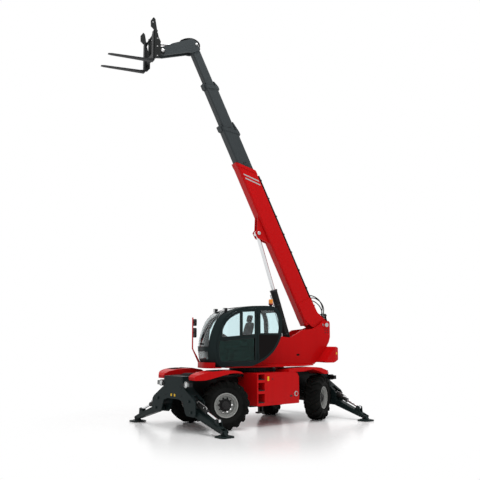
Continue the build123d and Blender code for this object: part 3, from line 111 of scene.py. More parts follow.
def make_grime():
    """Group: dust low down and on upward faces, water streaks and broad tone changes, in object space."""
    inputs = [("Color", "c", (0.5, 0.5, 0.5, 1)), ("Dust", "f", 0.3),
              ("Dust Color", "c", (0.33, 0.29, 0.24, 1)), ("Low", "f", 1.2)]
    tree, gi, go = new_group("grime", inputs, [("Color", "c"), ("Rough", "f"), ("Height", "f")])
    link = tree.links.new
    where = node(tree, "ShaderNodeTexCoord")
    split = node(tree, "ShaderNodeSeparateXYZ")
    link(where.outputs["Object"], split.inputs[0])
    broad = node(tree, "ShaderNodeTexNoise", in_Scale=1.7, in_Detail=5.0, in_Roughness=0.6)
    fine = node(tree, "ShaderNodeTexNoise", in_Scale=46.0, in_Detail=3.0, in_Roughness=0.65)
    peel = node(tree, "ShaderNodeTexNoise", in_Scale=620.0, in_Detail=2.0)
    squeeze = node(tree, "ShaderNodeVectorMath", operation="MULTIPLY", in_1=(9.0, 9.0, 0.7))
    streak = node(tree, "ShaderNodeTexNoise", in_Scale=1.0, in_Detail=4.0)
    link(where.outputs["Object"], squeeze.inputs[0])
    link(squeeze.outputs[0], streak.inputs["Vector"])
    for tex in (broad, fine, peel):
        link(where.outputs["Object"], tex.inputs["Vector"])
    fall = node(tree, "ShaderNodeMapRange", in_1=0.0, in_2=1.0, in_3=1.0, in_4=0.0)
    link(split.outputs["Z"], fall.inputs["Value"])
    link(gi.outputs["Low"], fall.inputs[2])
    facing = node(tree, "ShaderNodeNewGeometry")
    up = node(tree, "ShaderNodeSeparateXYZ")
    link(facing.outputs["Normal"], up.inputs[0])
    lying = node(tree, "ShaderNodeMapRange", in_1=0.6, in_2=1.0, in_3=0.0, in_4=0.2)
    link(up.outputs["Z"], lying.inputs["Value"])
    both = node(tree, "ShaderNodeMath", operation="MAXIMUM")
    link(fall.outputs[0], both.inputs[0])
    link(lying.outputs[0], both.inputs[1])
    patch = node(tree, "ShaderNodeMapRange", in_1=0.35, in_2=0.75, in_3=0.15, in_4=1.0)
    link(broad.outputs["Fac"], patch.inputs["Value"])
    grain = node(tree, "ShaderNodeMapRange", in_1=0.3, in_2=0.7, in_3=0.6, in_4=1.0)
    link(fine.outputs["Fac"], grain.inputs["Value"])
    mask = both
    for other in (patch, grain):
        step = node(tree, "ShaderNodeMath", operation="MULTIPLY")
        link(mask.outputs[0], step.inputs[0])
        link(other.outputs[0], step.inputs[1])
        mask = step
    amount = node(tree, "ShaderNodeMath", operation="MULTIPLY", use_clamp=True)
    link(mask.outputs[0], amount.inputs[0])
    link(gi.outputs["Dust"], amount.inputs[1])
    tone = node(tree, "ShaderNodeMapRange", in_1=0.3, in_2=0.7, in_3=0.965, in_4=1.03)
    link(streak.outputs["Fac"], tone.inputs["Value"])
    shade = node(tree, "ShaderNodeMix", data_type="RGBA", blend_type="MULTIPLY", in_0=1.0)
    link(gi.outputs["Color"], shade.inputs[6])
    link(tone.outputs[0], shade.inputs[7])
    over = node(tree, "ShaderNodeMix", data_type="RGBA")
    link(amount.outputs[0], over.inputs[0])
    link(shade.outputs[2], over.inputs[6])
    link(gi.outputs["Dust Color"], over.inputs[7])
    link(over.outputs[2], go.inputs["Color"])
    rough = node(tree, "ShaderNodeMath", operation="MULTIPLY_ADD", in_1=0.12)
    link(fine.outputs["Fac"], rough.inputs[0])
    link(amount.outputs[0], rough.inputs[2])
    link(rough.outputs[0], go.inputs["Rough"])
    link(peel.outputs["Fac"], go.inputs["Height"])
    return tree


GRIME = make_grime()


def painted(name, color, rough=0.34, coat=0.35, dust=0.3, low=1.2, metal=0.0, bump=0.04, shine=0.12):
    """Painted or coated metal: colour through the grime group, clear coat and a fine orange-peel bump."""
    mat = bpy.data.materials.new(name)
    mat.use_nodes = True
    tree = mat.node_tree
    link = tree.links.new
    shader = tree.nodes["Principled BSDF"]
    grime = node(tree, "ShaderNodeGroup", node_tree=GRIME)
    grime.inputs["Color"].default_value = (*color, 1)
    grime.inputs["Dust"].default_value = dust
    grime.inputs["Low"].default_value = low
    link(grime.outputs["Color"], shader.inputs["Base Color"])
    add = node(tree, "ShaderNodeMath", operation="ADD", in_1=rough - 0.06, use_clamp=True)
    link(grime.outputs["Rough"], add.inputs[0])
    link(add.outputs[0], shader.inputs["Roughness"])
    rise = node(tree, "ShaderNodeBump", in_Strength=bump, in_Distance=0.002)
    link(grime.outputs["Height"], rise.inputs["Height"])
    link(rise.outputs["Normal"], shader.inputs["Normal"])
    shader.inputs["Metallic"].default_value = metal
    shader.inputs["Coat Weight"].default_value = coat
    shader.inputs["Coat Roughness"].default_value = 0.12
    shader.inputs["Coat IOR"].default_value = 1.3
    shader.inputs["Specular IOR Level"].default_value = shine
    return mat


def plain(name, color, rough=0.5, metal=0.0, coat=0.0, scale=90.0, bump=0.15, mottled=0.25, shine=0.15):
    """Moulded or bare material with mottled tone and a grained surface."""
    mat = bpy.data.materials.new(name)
    mat.use_nodes = True
    tree = mat.node_tree
    link = tree.links.new
    shader = tree.nodes["Principled BSDF"]
    where = node(tree, "ShaderNodeTexCoord")
    noise = node(tree, "ShaderNodeTexNoise", in_Scale=scale, in_Detail=6.0, in_Roughness=0.6)
    wide = node(tree, "ShaderNodeTexNoise", in_Scale=3.1, in_Detail=4.0)
    link(where.outputs["Object"], noise.inputs["Vector"])
    link(where.outputs["Object"], wide.inputs["Vector"])
    tone = node(tree, "ShaderNodeMapRange", in_1=0.3, in_2=0.7, in_3=1.0 - mottled, in_4=1.0 + mottled)
    link(wide.outputs["Fac"], tone.inputs["Value"])
    mix = node(tree, "ShaderNodeMix", data_type="RGBA", blend_type="MULTIPLY", in_0=1.0, in_6=(*color, 1))
    link(tone.outputs[0], mix.inputs[7])
    link(mix.outputs[2], shader.inputs["Base Color"])
    least, most = max(0.02, rough - 0.08), min(1.0, rough + 0.08)
    worn = node(tree, "ShaderNodeMapRange", in_1=0.3, in_2=0.7, in_3=least, in_4=most)
    link(noise.outputs["Fac"], worn.inputs["Value"])
    link(worn.outputs[0], shader.inputs["Roughness"])
    rise = node(tree, "ShaderNodeBump", in_Strength=bump, in_Distance=0.003)
    link(noise.outputs["Fac"], rise.inputs["Height"])
    link(rise.outputs["Normal"], shader.inputs["Normal"])
    shader.inputs["Metallic"].default_value = metal
    shader.inputs["Coat Weight"].default_value = coat
    shader.inputs["Specular IOR Level"].default_value = shine
    return mat


def glazing(name, tint, bend=1.45):
    """Cab glass: clear, with a tint and the index by which it bends and mirrors light."""
    mat = bpy.data.materials.new(name)
    mat.use_nodes = True
    shader = mat.node_tree.nodes["Principled BSDF"]
    shader.inputs["Base Color"].default_value = (*tint, 1)
    shader.inputs["Roughness"].default_value = 0.0
    shader.inputs["IOR"].default_value = bend
    shader.inputs["Transmission Weight"].default_value = 1.0
    return mat


PAINTS = {
    "paint_red": dict(color=(0.49, 0.004, 0.005), rough=0.34, coat=0.12, dust=0.04, low=1.0, shine=0.05),
    "paint_grey": dict(color=(0.038, 0.0445, 0.0475), rough=0.42, coat=0.08, dust=0.03, shine=0.08),
    "paint_slate": dict(color=(0.009, 0.016, 0.0165), rough=0.40, coat=0.08, dust=0.04, low=0.7, shine=0.06),
    "steel_black": dict(color=(0.009, 0.010, 0.010), rough=0.45, coat=0.05, dust=0.10, low=1.0),
    "rim_grey": dict(color=(0.24, 0.245, 0.235), rough=0.38, coat=0.12, dust=0.15, low=1.2),
    "fork_steel": dict(color=(0.016, 0.017, 0.018), rough=0.46, coat=0.1, dust=0.1),
    "hub_black": dict(color=(0.012, 0.012, 0.013), rough=0.36, coat=0.3, dust=0.10, low=1.0),
    "rim_bright": dict(color=(0.36, 0.365, 0.35), rough=0.34, coat=0.15, dust=0.1, low=1.0),
    "panel_gloss": dict(
        color=(0.0045, 0.0030, 0.0030), rough=0.16, coat=0.12, dust=0.02, low=0.5, shine=0.05),
    "silver_band": dict(color=(0.42, 0.43, 0.43), rough=0.3, coat=0.3, dust=0.03, metal=0.5),
}
BARE = {
    "tyre": dict(color=(0.0062, 0.0065, 0.0060), rough=0.8, scale=70.0, bump=0.3, mottled=0.35, shine=0.05),
    "tyre_wall": dict(color=(0.0075, 0.0078, 0.0073), rough=0.7, scale=120.0, mottled=0.3, shine=0.08),
    "chrome": dict(color=(0.70, 0.71, 0.72), rough=0.16, metal=1.0, scale=300.0, bump=0.02, mottled=0.05),
    "steel_bright": dict(
        color=(0.42, 0.42, 0.42), rough=0.3, metal=0.9, scale=160.0, bump=0.06, mottled=0.12),
    "steel_dark": dict(color=(0.030, 0.031, 0.033), rough=0.45, metal=0.4, scale=160.0, bump=0.1),
    "iron": dict(color=(0.05, 0.05, 0.05), rough=0.7, metal=0.3),
    "mirror_glass": dict(color=(0.72, 0.75, 0.76), rough=0.04, metal=1.0, scale=8.0, bump=0.01, mottled=0.03),
    "seat": dict(color=(0.016, 0.016, 0.018), rough=0.85, scale=420.0, bump=0.5),
    "seat_cloth": dict(color=(0.018, 0.018, 0.020), rough=0.9, scale=520.0, bump=0.6, mottled=0.3),
    "plastic_black": dict(color=(0.010, 0.010, 0.011), scale=240.0, bump=0.2),
    "rubber": dict(color=(0.009, 0.009, 0.0095), rough=0.55, scale=300.0),
    "rubber_mat": dict(color=(0.010, 0.010, 0.010), rough=0.75, scale=180.0, bump=0.4),
    "amber": dict(color=(0.80, 0.26, 0.01), rough=0.12, coat=0.6, scale=30.0, bump=0.05, mottled=0.1),
    "lens_clear": dict(color=(0.62, 0.64, 0.64), rough=0.08, coat=0.6, scale=55.0, bump=0.25, mottled=0.1),
    "lens_red": dict(color=(0.30, 0.006, 0.006), rough=0.12, coat=1.0, scale=55.0, bump=0.2, mottled=0.15),
    "lens_amber": dict(color=(0.62, 0.17, 0.008), rough=0.12, coat=1.0, scale=55.0, bump=0.2, mottled=0.15),
    "lens_grey": dict(color=(0.10, 0.11, 0.11), rough=0.1, coat=0.6, scale=55.0, bump=0.2, mottled=0.15),
    "label_yellow": dict(
        color=(0.72, 0.44, 0.012), rough=0.4, coat=0.2, scale=200.0, bump=0.03, mottled=0.08),
}
MATS = {name: painted(name, **look) for name, look in PAINTS.items()}
MATS.update({name: plain(name, **look) for name, look in BARE.items()})
MATS["glass"] = glazing("glass", (0.80, 0.92, 0.935))
MATS["glass_smoked"] = glazing("glass_smoked", (0.16, 0.36, 0.32), 1.2)

for part in frame["record"]["subparts"]:
    obj = frame["nodes"].get(part["node"])
    if obj is None:
        continue
    for index in range(len(obj.material_slots)):
        obj.material_slots[index].material = MATS[part["material_slot"]]

# Shape helpers. A part is a pair: an array of points and a list of faces.


def band_faces(rows, cols, wrap_rows=False, wrap_cols=False):
    """Quads of a rows by cols grid of points; a wrapped direction joins its last line to its first."""
    i, j = np.meshgrid(
        np.arange(rows if wrap_rows else rows - 1), np.arange(cols if wrap_cols else cols - 1), indexing="ij"
    )
    k, l = (i + 1) % rows, (j + 1) % cols
    return np.stack([i * cols + j, i * cols + l, k * cols + l, k * cols + j], -1).reshape(-1, 4).tolist()


def lathe(profile, turns=32, centre=(0, 0, 0), axis="z"):
    """Profile of (radius, height) pairs turned once round an axis through centre."""
    p = np.asarray(profile, float)
    a = np.linspace(0, 2 * np.pi, turns, endpoint=False)
    u = p[:, :1] * np.cos(a)
    v = p[:, :1] * np.sin(a)
    w = np.repeat(p[:, 1:], turns, 1)
    columns = {"z": (u, v, w), "y": (u, w, v), "x": (w, u, v)}[axis]
    return np.stack(columns, -1).reshape(-1, 3) + np.asarray(centre), band_faces(len(p), turns, False, True)


def inset(outline, amount):
    """Closed outline moved inwards along the normal at each point, worked out from its two neighbours."""
    p = np.asarray(outline, float)
    run = np.roll(p, -1, 0) - np.roll(p, 1, 0)
    side = np.stack([-run[:, 1], run[:, 0]], 1)
    turn = np.sum(p[:, 0] * np.roll(p[:, 1], -1) - p[:, 1] * np.roll(p[:, 0], -1))
    return p + np.sign(turn) * amount * side / np.linalg.norm(side, axis=1, keepdims=True)


AXES = {"xz": (0, 2, 1), "yz": (1, 2, 0), "xy": (0, 1, 2)}


def plate(outline, low, high, axes="xz", bevel=0.002):
    """Outline carried from low to high across its plane, with its rim drawn in by bevel at both faces."""
    o = np.asarray(outline, float)
    n = len(o)
    step = bevel if high > low else -bevel
    rings = [(inset(o, bevel), low), (o, low + step), (o, high - step), (inset(o, bevel), high)]
    points = np.zeros((4 * n, 3))
    a, b, c = AXES[axes]
    for row, (ring, level) in enumerate(rings):
        points[row * n:(row + 1) * n, a] = ring[:, 0]
        points[row * n:(row + 1) * n, b] = ring[:, 1]
        points[row * n:(row + 1) * n, c] = level
    faces = band_faces(4, n, False, True)
    return points, faces + [list(range(n))[::-1], list(range(3 * n, 4 * n))]


def rounded(u, v, r, steps=5):
    """Outline of a box between two pairs of limits with corners rounded by r."""
    a = np.linspace(0, np.pi / 2, steps)
    left, right, low, high = u[0] + r, u[1] - r, v[0] + r, v[1] - r
    rows = []
    for quarter, (x, y) in enumerate(((right, high), (left, high), (left, low), (right, low))):
        turn = a + quarter * np.pi / 2
        rows.append(np.stack([x + r * np.cos(turn), y + r * np.sin(turn)], 1))
    return np.concatenate(rows)


def smooth(points, per_run=8, closed=False):
    """Cubic curve through points: each run is blended from its four nearest points."""
    p = np.asarray(points, float)
    if closed:
        q = np.concatenate([p[-1:], p, p[:2]])
    else:
        q = np.concatenate([2 * p[:1] - p[1:2], p, 2 * p[-1:] - p[-2:-1]])
    t = np.linspace(0, 1, per_run, endpoint=False)[:, None]
    a, b, c, d = (q[i:len(q) - 3 + i, None] for i in range(4))
    square, cube = 2 * a - 5 * b + 4 * c - d, 3 * b - a - 3 * c + d
    curve = 0.5 * (2 * b + (c - a) * t + square * t ** 2 + cube * t ** 3)
    curve = curve.reshape(-1, p.shape[1])
    return curve if closed else np.concatenate([curve, p[-1:]])


def tube(path, radius, sides=10, closed=False, hint=(0.0, 1.0, 0.0)):
    """Round section carried along a path; open ends are closed by a shallow cap."""
    p = np.asarray(path, float)
    if closed:
        run = np.roll(p, -1, 0) - np.roll(p, 1, 0)
    else:
        run = np.gradient(p, axis=0)
    run /= np.linalg.norm(run, axis=1, keepdims=True)
    u = np.cross(run, np.asarray(hint, float))
    u /= np.linalg.norm(u, axis=1, keepdims=True)
    v = np.cross(run, u)
    a = np.linspace(0, 2 * np.pi, sides, endpoint=False)
    size = np.full(len(p), radius, float)
    if not closed:
        p = np.concatenate([p[:1], p, p[-1:]])
        u = np.concatenate([u[:1], u, u[-1:]])
        v = np.concatenate([v[:1], v, v[-1:]])
        size = np.concatenate([[0.0], size, [0.0]])
    ring = np.cos(a)[None, :, None] * u[:, None] + np.sin(a)[None, :, None] * v[:, None]
    points = p[:, None] + size[:, None, None] * ring
    return points.reshape(-1, 3), band_faces(len(p), sides, closed, True)


def copies(part, spots, turns=None):
    """Part repeated at each spot, turned by the matrix given for it."""
    points, faces = part
    spots = np.asarray(spots, float).reshape(-1, 3)
    if turns is None:
        turns = np.repeat(np.eye(3)[None], len(spots), 0)
    moved = np.einsum("kij,vj->kvi", turns, points) + spots[:, None]
    many = [[i + n * len(points) for i in face] for n in range(len(spots)) for face in faces]
    return moved.reshape(-1, 3), many


def placed(parts, place):
    """Parts with their points carried by a placing function."""
    return [(place(points), faces) for points, faces in parts]


def piece(name, parts, finish, body, sharp=38.0):
    """Object joined from parts, with doubled points merged and faces turned outwards, riding on a body."""
    points, faces, count = [], [], 0
    for some, sides in parts:
        points.append(some)
        faces.extend([[i + count for i in side] for side in sides])
        count += len(some)
    mesh = bpy.data.meshes.new(name)
    mesh.from_pydata(np.concatenate(points).tolist(), [], faces)
    tidy = bmesh.new()
    tidy.from_mesh(mesh)
    bmesh.ops.remove_doubles(tidy, verts=tidy.verts, dist=1e-6)
    bmesh.ops.dissolve_degenerate(tidy, edges=tidy.edges, dist=1e-7)
    bmesh.ops.recalc_face_normals(tidy, faces=tidy.faces)
    tidy.to_mesh(mesh)
    tidy.free()
    mesh.shade_smooth()
    mesh.set_sharp_from_angle(angle=math.radians(sharp))
    made = bpy.data.objects.new(name, mesh)
    bpy.context.scene.collection.objects.link(made)
    mesh.materials.append(MATS[finish])
    if body:
        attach(made, body)
    return made


def cap_profile(top, flat, radius, shoulder, sink):
    """Half section of a pin cap: flat top, eased shoulder, straight side and a foot sunk below zero."""
    return np.array([(0, top), (flat, top), (radius, shoulder), (radius, -sink), (0, -sink)])


def cap_pair(profile, turns, spot, reach, axis):
    """Caps on both ends of a pin: the turned profile and its mirror image, reach to each side of spot."""
    step = reach * np.array([axis == "x", axis == "y", axis == "z"], float)
    return [lathe(profile * (1, way), turns, np.asarray(spot, float) + way * step, axis) for way in (1, -1)]


def collar(bore, radius, start, finish):
    """Gland nut or clip: a ring with eased edges, drawn as a closed (radius, station) loop."""
    ease = 0.2 * (finish - start)
    outside = [(radius - ease, start), (radius, start + ease), (radius, finish - ease),
               (radius - ease, finish)]
    return [(bore, start), *outside, (bore, finish), (bore, start)]


def bolt(radius, high):
    """Six-sided bolt head on its washer, standing up along z."""
    head = lathe([(0, high), (radius * 0.86, high), (radius, high * 0.88), (radius, high * 0.25)], 6)
    washer = lathe([(radius, high * 0.25), (radius * 1.35, high * 0.25), (radius * 1.45, high * 0.12),
                    (radius * 1.45, -0.001), (0, -0.001)], 14)
    return np.concatenate([head[0], washer[0]]), head[1] + [[i + len(head[0]) for i in f] for f in washer[1]]


def heading(axis, way):
    """Name of the outward direction along an axis."""
    return ("+" if way > 0 else "-") + axis


def facing(axis):
    """Matrix that turns z to the named outward direction."""
    to = {"+y": ((1, 0, 0), (0, 0, 1), (0, -1, 0)), "-y": ((1, 0, 0), (0, 0, -1), (0, 1, 0)),
          "+x": ((0, 0, 1), (0, 1, 0), (-1, 0, 0)), "-x": ((0, 0, -1), (0, 1, 0), (1, 0, 0))}[axis]
    return np.array(to, float)


def bolts(spots, axis, radius=0.014, high=0.012):
    """Bolt heads at spots, all standing out the same way."""
    spots = np.asarray(spots, float).reshape(-1, 3)
    return copies(bolt(radius, high), spots, np.repeat(facing(axis)[None], len(spots), 0))


# Wheels.

CORNERS = (("fl", 1, 1), ("fr", 1, -1), ("rl", -1, 1), ("rr", -1, -1))
AXLE_X, KING_Y, WHEEL_OUT, AXLE_Z = 1.525, 0.640, 0.260, 0.600
STEER = math.radians(-25.0)


def wheel_place(end, flank):
    """Placing for points drawn about the wheel's middle with its outer face towards +y."""
    steer = STEER * end
    turn = steer + (0.0 if flank > 0 else math.pi)
    middle = np.array([end * AXLE_X - flank * WHEEL_OUT * math.sin(steer) + SLEW_X,
                       flank * (KING_Y + WHEEL_OUT * math.cos(steer)), AXLE_Z])
    c, s = math.cos(turn), math.sin(turn)
    spin = np.array([[c, -s, 0], [s, c, 0], [0, 0, 1]])
    return lambda points: points @ spin.T + middle


def sidewall(r):
    """Half width of the tyre's plain wall at radius r."""
    return np.interp(r, [0.312, 0.380, 0.465], [0.193, 0.213, 0.211])


NUTS = 10
HUB_FACE, HUB_RIM, NUT_SEAT = 0.158, 0.153, 0.087
NUT_CIRCLE, STUD_CIRCLE = 0.1385, 0.074
HUB_COVER = [(0, HUB_FACE), (0.052, HUB_FACE), (0.060, HUB_RIM), (0.088, HUB_RIM), (0.106, 0.143),
             (0.119, 0.116), (0.126, 0.090), (0.150, NUT_SEAT), (0.154, 0.083), (0.154, 0.070), (0, 0.070)]
WALL_IN, WALL_OUT, WALL_SINK = 0.318, 0.428, 0.012
WALL_RIDGES = (0.327, 0.341, 0.398, 0.419)


def wall_rib():
    """Half section of the moulded wall: the tyre's own curve raised by a bell-shaped ridge at each radius."""
    r = np.linspace(WALL_IN, WALL_OUT, 56)
    ridges = sum(np.exp(-((r - at) / 0.0035) ** 2) for at in WALL_RIDGES)
    face = np.stack([r, sidewall(r) + 0.0012 + 0.0045 * ridges], 1)
    back = np.array([[at, sidewall(at) - WALL_SINK] for at in (WALL_OUT, WALL_IN)])
    return np.concatenate([face, back, face[:1]])


def bolt_circle(radius, out):
    """Spots of the wheel nuts' number, evenly round the axle at one radius."""
    spin = np.linspace(0, 2 * np.pi, NUTS, endpoint=False) + np.pi / NUTS
    return np.stack([radius * np.cos(spin), np.full(NUTS, out), radius * np.sin(spin)], 1)


def wheels():
    """Hub covers with their nuts, bead rings, and moulded sidewalls with the valve, of the four wheels."""
    rib = wall_rib()
    a = np.linspace(0, 2 * np.pi, 13)
    bead = np.stack([0.2865 + 0.0135 * np.cos(a), 0.1815 + 0.0105 * np.sin(a)], 1)
    ledge = np.stack([0.2315 + 0.0050 * np.cos(a), 0.1360 + 0.0050 * np.sin(a)], 1)
    rings = [lathe(bead, 72, axis="y"), lathe(ledge, 72, axis="y")]
    valve = smooth([(0.243, 0.120, 0.0), (0.243, 0.150, 0.0), (0.250, 0.168, 0.0)], 5)
    walls = [lathe(rib, 72, axis="y"), lathe(rib * (1, -1), 72, axis="y"),
             tube(valve, 0.006, 8, hint=(0, 0, 1))]
    cover = lathe(HUB_COVER, 48, axis="y")
    nuts = bolts(bolt_circle(NUT_CIRCLE, NUT_SEAT), "+y", 0.0125, 0.024)
    plug = bolts([(0.0, HUB_FACE, 0.0)], "+y", 0.018, 0.010)
    studs = bolts(bolt_circle(STUD_CIRCLE, HUB_RIM), "+y", 0.006, 0.006)
    for name, end, flank in CORNERS:
        place = wheel_place(end, flank)
        piece(f"hub_{name}", placed([cover, nuts, plug, studs], place), "hub_black", f"wheel_{name}")
        piece(f"bead_ring_{name}", placed(rings, place), "rim_bright", f"wheel_{name}")
        piece(f"sidewall_{name}", placed(walls, place), "tyre_wall", f"wheel_{name}")


wheels()

# Chassis.

FACE = 2.580
STAB_X, STAB_HALF = 2.435, 0.145
ARM_PIN, RAM_PIN = (0.780, 0.465), (0.690, 0.715)
PAD_PIN = (1.900, 0.112)
LAMP_Y, LAMP_Z = 0.560, 1.105
BOX_SIDE, COVER_RISE = 1.100, 0.004
TREADS, LOW_TREAD = (0.612, 0.912, 1.187), 0.375
CAP_STAND = 0.004


def lamp_glass():
    """Domed lenses of the round lamps with bright rims, and the square marker lenses beside them."""
    dome = np.array([(0, 0.013), (0.022, 0.012), (0.042, 0.008), (0.057, 0.001), (0.062, -0.006),
                     (0, -0.006)])
    a = np.linspace(0, 2 * np.pi, 11)
    rim = np.stack([0.070 + 0.007 * np.cos(a), 0.008 + 0.005 * np.sin(a)], 1)
    marker = rounded((0.634, 0.708), (1.063, 1.147), 0.012)
    ends = ((1, "front", "lens_clear", "lens_grey"), (-1, "rear", "lens_red", "lens_amber"))
    for end, label, lens, mark in ends:
        lenses, rims, marks = [], [], []
        for flank in (1, -1):
            spot = (end * FACE, flank * LAMP_Y, LAMP_Z)
            lenses.append(lathe(dome * (1, end), 32, spot, "x"))
            rims.append(lathe(rim * (1, end), 32, spot, "x"))
            marks.append(plate(marker * (flank, 1), end * (FACE + 0.003), end * (FACE + 0.013), "yz", 0.003))
        piece(f"lamp_lens_{label}", placed(lenses, on_chassis), lens, "chassis")
        piece(f"lamp_rim_{label}", placed(rims, on_chassis), "steel_bright", "chassis")
        piece(f"marker_{label}", placed(marks, on_chassis), mark, "chassis")


def housing_trim():
    """Pin caps and bolt heads on the stabiliser housings, and two blank yellow squares on the front one."""
    cap = cap_profile(0.022, 0.028, 0.036, 0.016, 0.012)
    caps, heads = [], []
    for end in (1, -1):
        for flank in (1, -1):
            for y, z in (ARM_PIN, RAM_PIN):
                caps += cap_pair(cap, 24, (end * STAB_X, flank * y, z), STAB_HALF + CAP_STAND, "x")
        spots = [(end * FACE, y, z) for y in (-0.34, 0.34) for z in (0.82, 1.02, 1.22)]
        heads.append(bolts(spots, heading("x", end), 0.013, 0.012))
    piece("housing_pins", placed(caps, on_chassis), "paint_slate", "chassis")
    piece("housing_bolts", placed(heads, on_chassis), "steel_dark", "chassis")
    square = rounded((-0.030, 0.030), (0.800, 0.860), 0.006)
    squares = [plate(square + (y, 0), FACE, FACE + 0.003, "yz", 0.001) for y in (-0.075, 0.075)]
    piece("blank_squares", placed(squares, on_chassis), "label_yellow", "chassis")


def ring_teeth():
    """Gear teeth round the slew ring: one tapered block turned to each of the teeth's places."""
    count = 84
    root, tip = 0.604, 0.628
    tooth = plate([(root, -0.015), (tip, -0.007), (tip, 0.007), (root, 0.015)], 1.350, 1.412, "xy", 0.002)
    a = np.linspace(0, 2 * np.pi, count, endpoint=False)
    c, s, o = np.cos(a), np.sin(a), np.zeros(count)
    turns = np.stack([np.stack([c, -s, o], 1), np.stack([s, c, o], 1), np.stack([o, o, o + 1], 1)], 1)
    teeth = copies(tooth, np.zeros((count, 3)), turns)
    piece("ring_teeth", placed([teeth], on_chassis), "steel_dark", "chassis")


def tank_side():
    """Raised covers, cap ring, latch, lock and blank label of the side boxes."""
    near, far = BOX_SIDE - 0.002, -BOX_SIDE + 0.002
    cover_face = BOX_SIDE + COVER_RISE
    covers = [plate(rounded((-0.500, 0.430), (0.600, 1.280), 0.050), near, cover_face, "xz", 0.003),
              plate(rounded((-0.640, 0.690), (0.600, 0.810), 0.030), far, -cover_face, "xz", 0.003)]
    piece("tank_cover", placed(covers, on_chassis), "paint_red", "chassis")
    ring = [(0.046, 0.017), (0.046, 0.027), (0.060, 0.027), (0.068, 0.018), (0.068, 0.001), (0.046, 0.001),
            (0.046, 0.017)]
    cap = lathe(ring, 40, (-0.590, BOX_SIDE, 0.770), "y")
    piece("cap_ring", placed([cap], on_chassis), "rim_bright", "chassis")
    grip = plate(rounded((-0.450, -0.370), (0.700, 0.742), 0.014), cover_face, BOX_SIDE + 0.018, "xz", 0.004)
    lock = lathe(cap_profile(0.012, 0.012, 0.016, 0.008, 0.0), 18, (0.250, cover_face, 1.180), "y")
    piece("tank_latch", placed([grip, lock], on_chassis), "steel_dark", "chassis")
    tag = rounded((0.360, 0.420), (1.140, 1.250), 0.006)
    label = plate(tag, BOX_SIDE + 0.003, BOX_SIDE + 0.0055, "xz", 0.001)
    piece("blank_label", placed([label], on_chassis), "label_yellow", "chassis")


def tread_grips():
    """Small raised rings in rows on the ladder's treads."""
    ring = lathe([(0.0055, 0.0), (0.0055, 0.005), (0.0085, 0.005), (0.0105, 0.0), (0.0055, 0.0)], 10)
    x, y, z = np.meshgrid(np.linspace(0.535, 0.700, 5), np.linspace(0.865, 1.070, 6), TREADS, indexing="ij")
    low_x, low_y = np.meshgrid(np.linspace(0.545, 0.690, 5), np.linspace(0.990, 1.070, 3), indexing="ij")
    upper = np.stack([x, y, z], -1).reshape(-1, 3)
    lower = np.stack([low_x, low_y, np.full_like(low_x, LOW_TREAD)], -1).reshape(-1, 3)
    grips = copies(ring, np.concatenate([upper, lower]))
    piece("tread_grips", placed([grips], on_chassis), "steel_dark", "chassis")


WING_X = (1.215, 1.334, 1.500, 1.677, 1.900, 2.100, 2.300, 2.440)
WING_Z = (1.337, 1.402, 1.428, 1.440, 1.436, 1.422, 1.390, 1.342)
MAT_SINK = 0.004


def draped(x, y, thick):
    """Mat on a wheel guard: four edge lines carried along x at the guard's own height."""
    along = np.linspace(x[0], x[1], 14)
    top = np.interp(along, WING_X, WING_Z) + thick
    deep = thick + MAT_SINK
    edges = ((y[0], 0.0), (y[1], 0.0), (y[1], deep), (y[0], deep))
    rows = np.stack([np.stack([along, np.full_like(along, side), top - drop], 1) for side, drop in edges], 1)
    last = 4 * len(along)
    lids = [[3, 2, 1, 0], [last - 4, last - 3, last - 2, last - 1]]
    return rows.reshape(-1, 3), band_faces(len(along), 4, False, True) + lids


def deck_trim():
    """Grip mats with raised bars on the front guards, and the deck's rubber mat."""
    mats = []
    for flank in (1, -1):
        for x in ((1.40, 1.72), (1.80, 2.10)):
            mats.append(draped(x, (flank * 0.66, flank * 1.02), 0.005))
            for y in np.linspace(0.69, 0.99, 9):
                mats.append(draped((x[0] + 0.02, x[1] - 0.02), (flank * y, flank * (y + 0.014)), 0.010))
    mats.append(plate(rounded((1.02, 2.26), (-0.50, 0.50), 0.05), 1.288, 1.296, "xy", 0.003))
    piece("grip_mats", placed(mats, on_chassis), "rubber_mat", "chassis")


def deck_hoses():
    """Hoses laid along the deck to the slew ring: smooth tubes that swing to either side by a sine."""
    hoses = []
    for number, y in enumerate((-0.16, -0.10, -0.04, 0.03, 0.09, 0.15)):
        swing = 0.05 * math.sin(2.1 * number)
        route = [(2.24, y, 1.300), (2.10, y, 1.330), (1.75, y + swing, 1.318), (1.35, 0.8 * y - swing, 1.330),
                 (1.10, 0.7 * y, 1.372), (0.85, 0.6 * y, 1.368), (0.66, 0.6 * y, 1.362)]
        hoses.append(tube(smooth(route, 8), 0.015, 10))
    piece("deck_hoses", placed(hoses, on_chassis), "rubber", "chassis")


def line_place(end, flank, start, finish):
    """Placing for points drawn along y from a stabiliser pin towards another point, outwards on one flank."""
    rise = math.atan2(finish[1] - start[1], finish[0] - start[0])
    c, s = math.cos(rise), math.sin(rise)

    def place(points):
        p = np.asarray(points, float)
        y = start[0] + p[:, 1] * c - p[:, 2] * s
        z = start[1] + p[:, 1] * s + p[:, 2] * c
        return np.stack([flank * p[:, 0] + end * STAB_X + SLEW_X, flank * y, z], 1)

    return place


ROD_EYE = (0.900, 0.150)
PIPE_ENDS, HOSE_ENDS, HOSE_SIDE = (0.150, 0.545), (0.180, 0.460), 0.030


def arm_eye():
    """Place of the ram's rod eye on the stabiliser arm."""
    rise = math.atan2(PAD_PIN[1] - ARM_PIN[1], PAD_PIN[0] - ARM_PIN[0])
    c, s = math.cos(rise), math.sin(rise)
    along, above = ROD_EYE
    return (ARM_PIN[0] + along * c - above * s, ARM_PIN[1] + along * s + above * c)


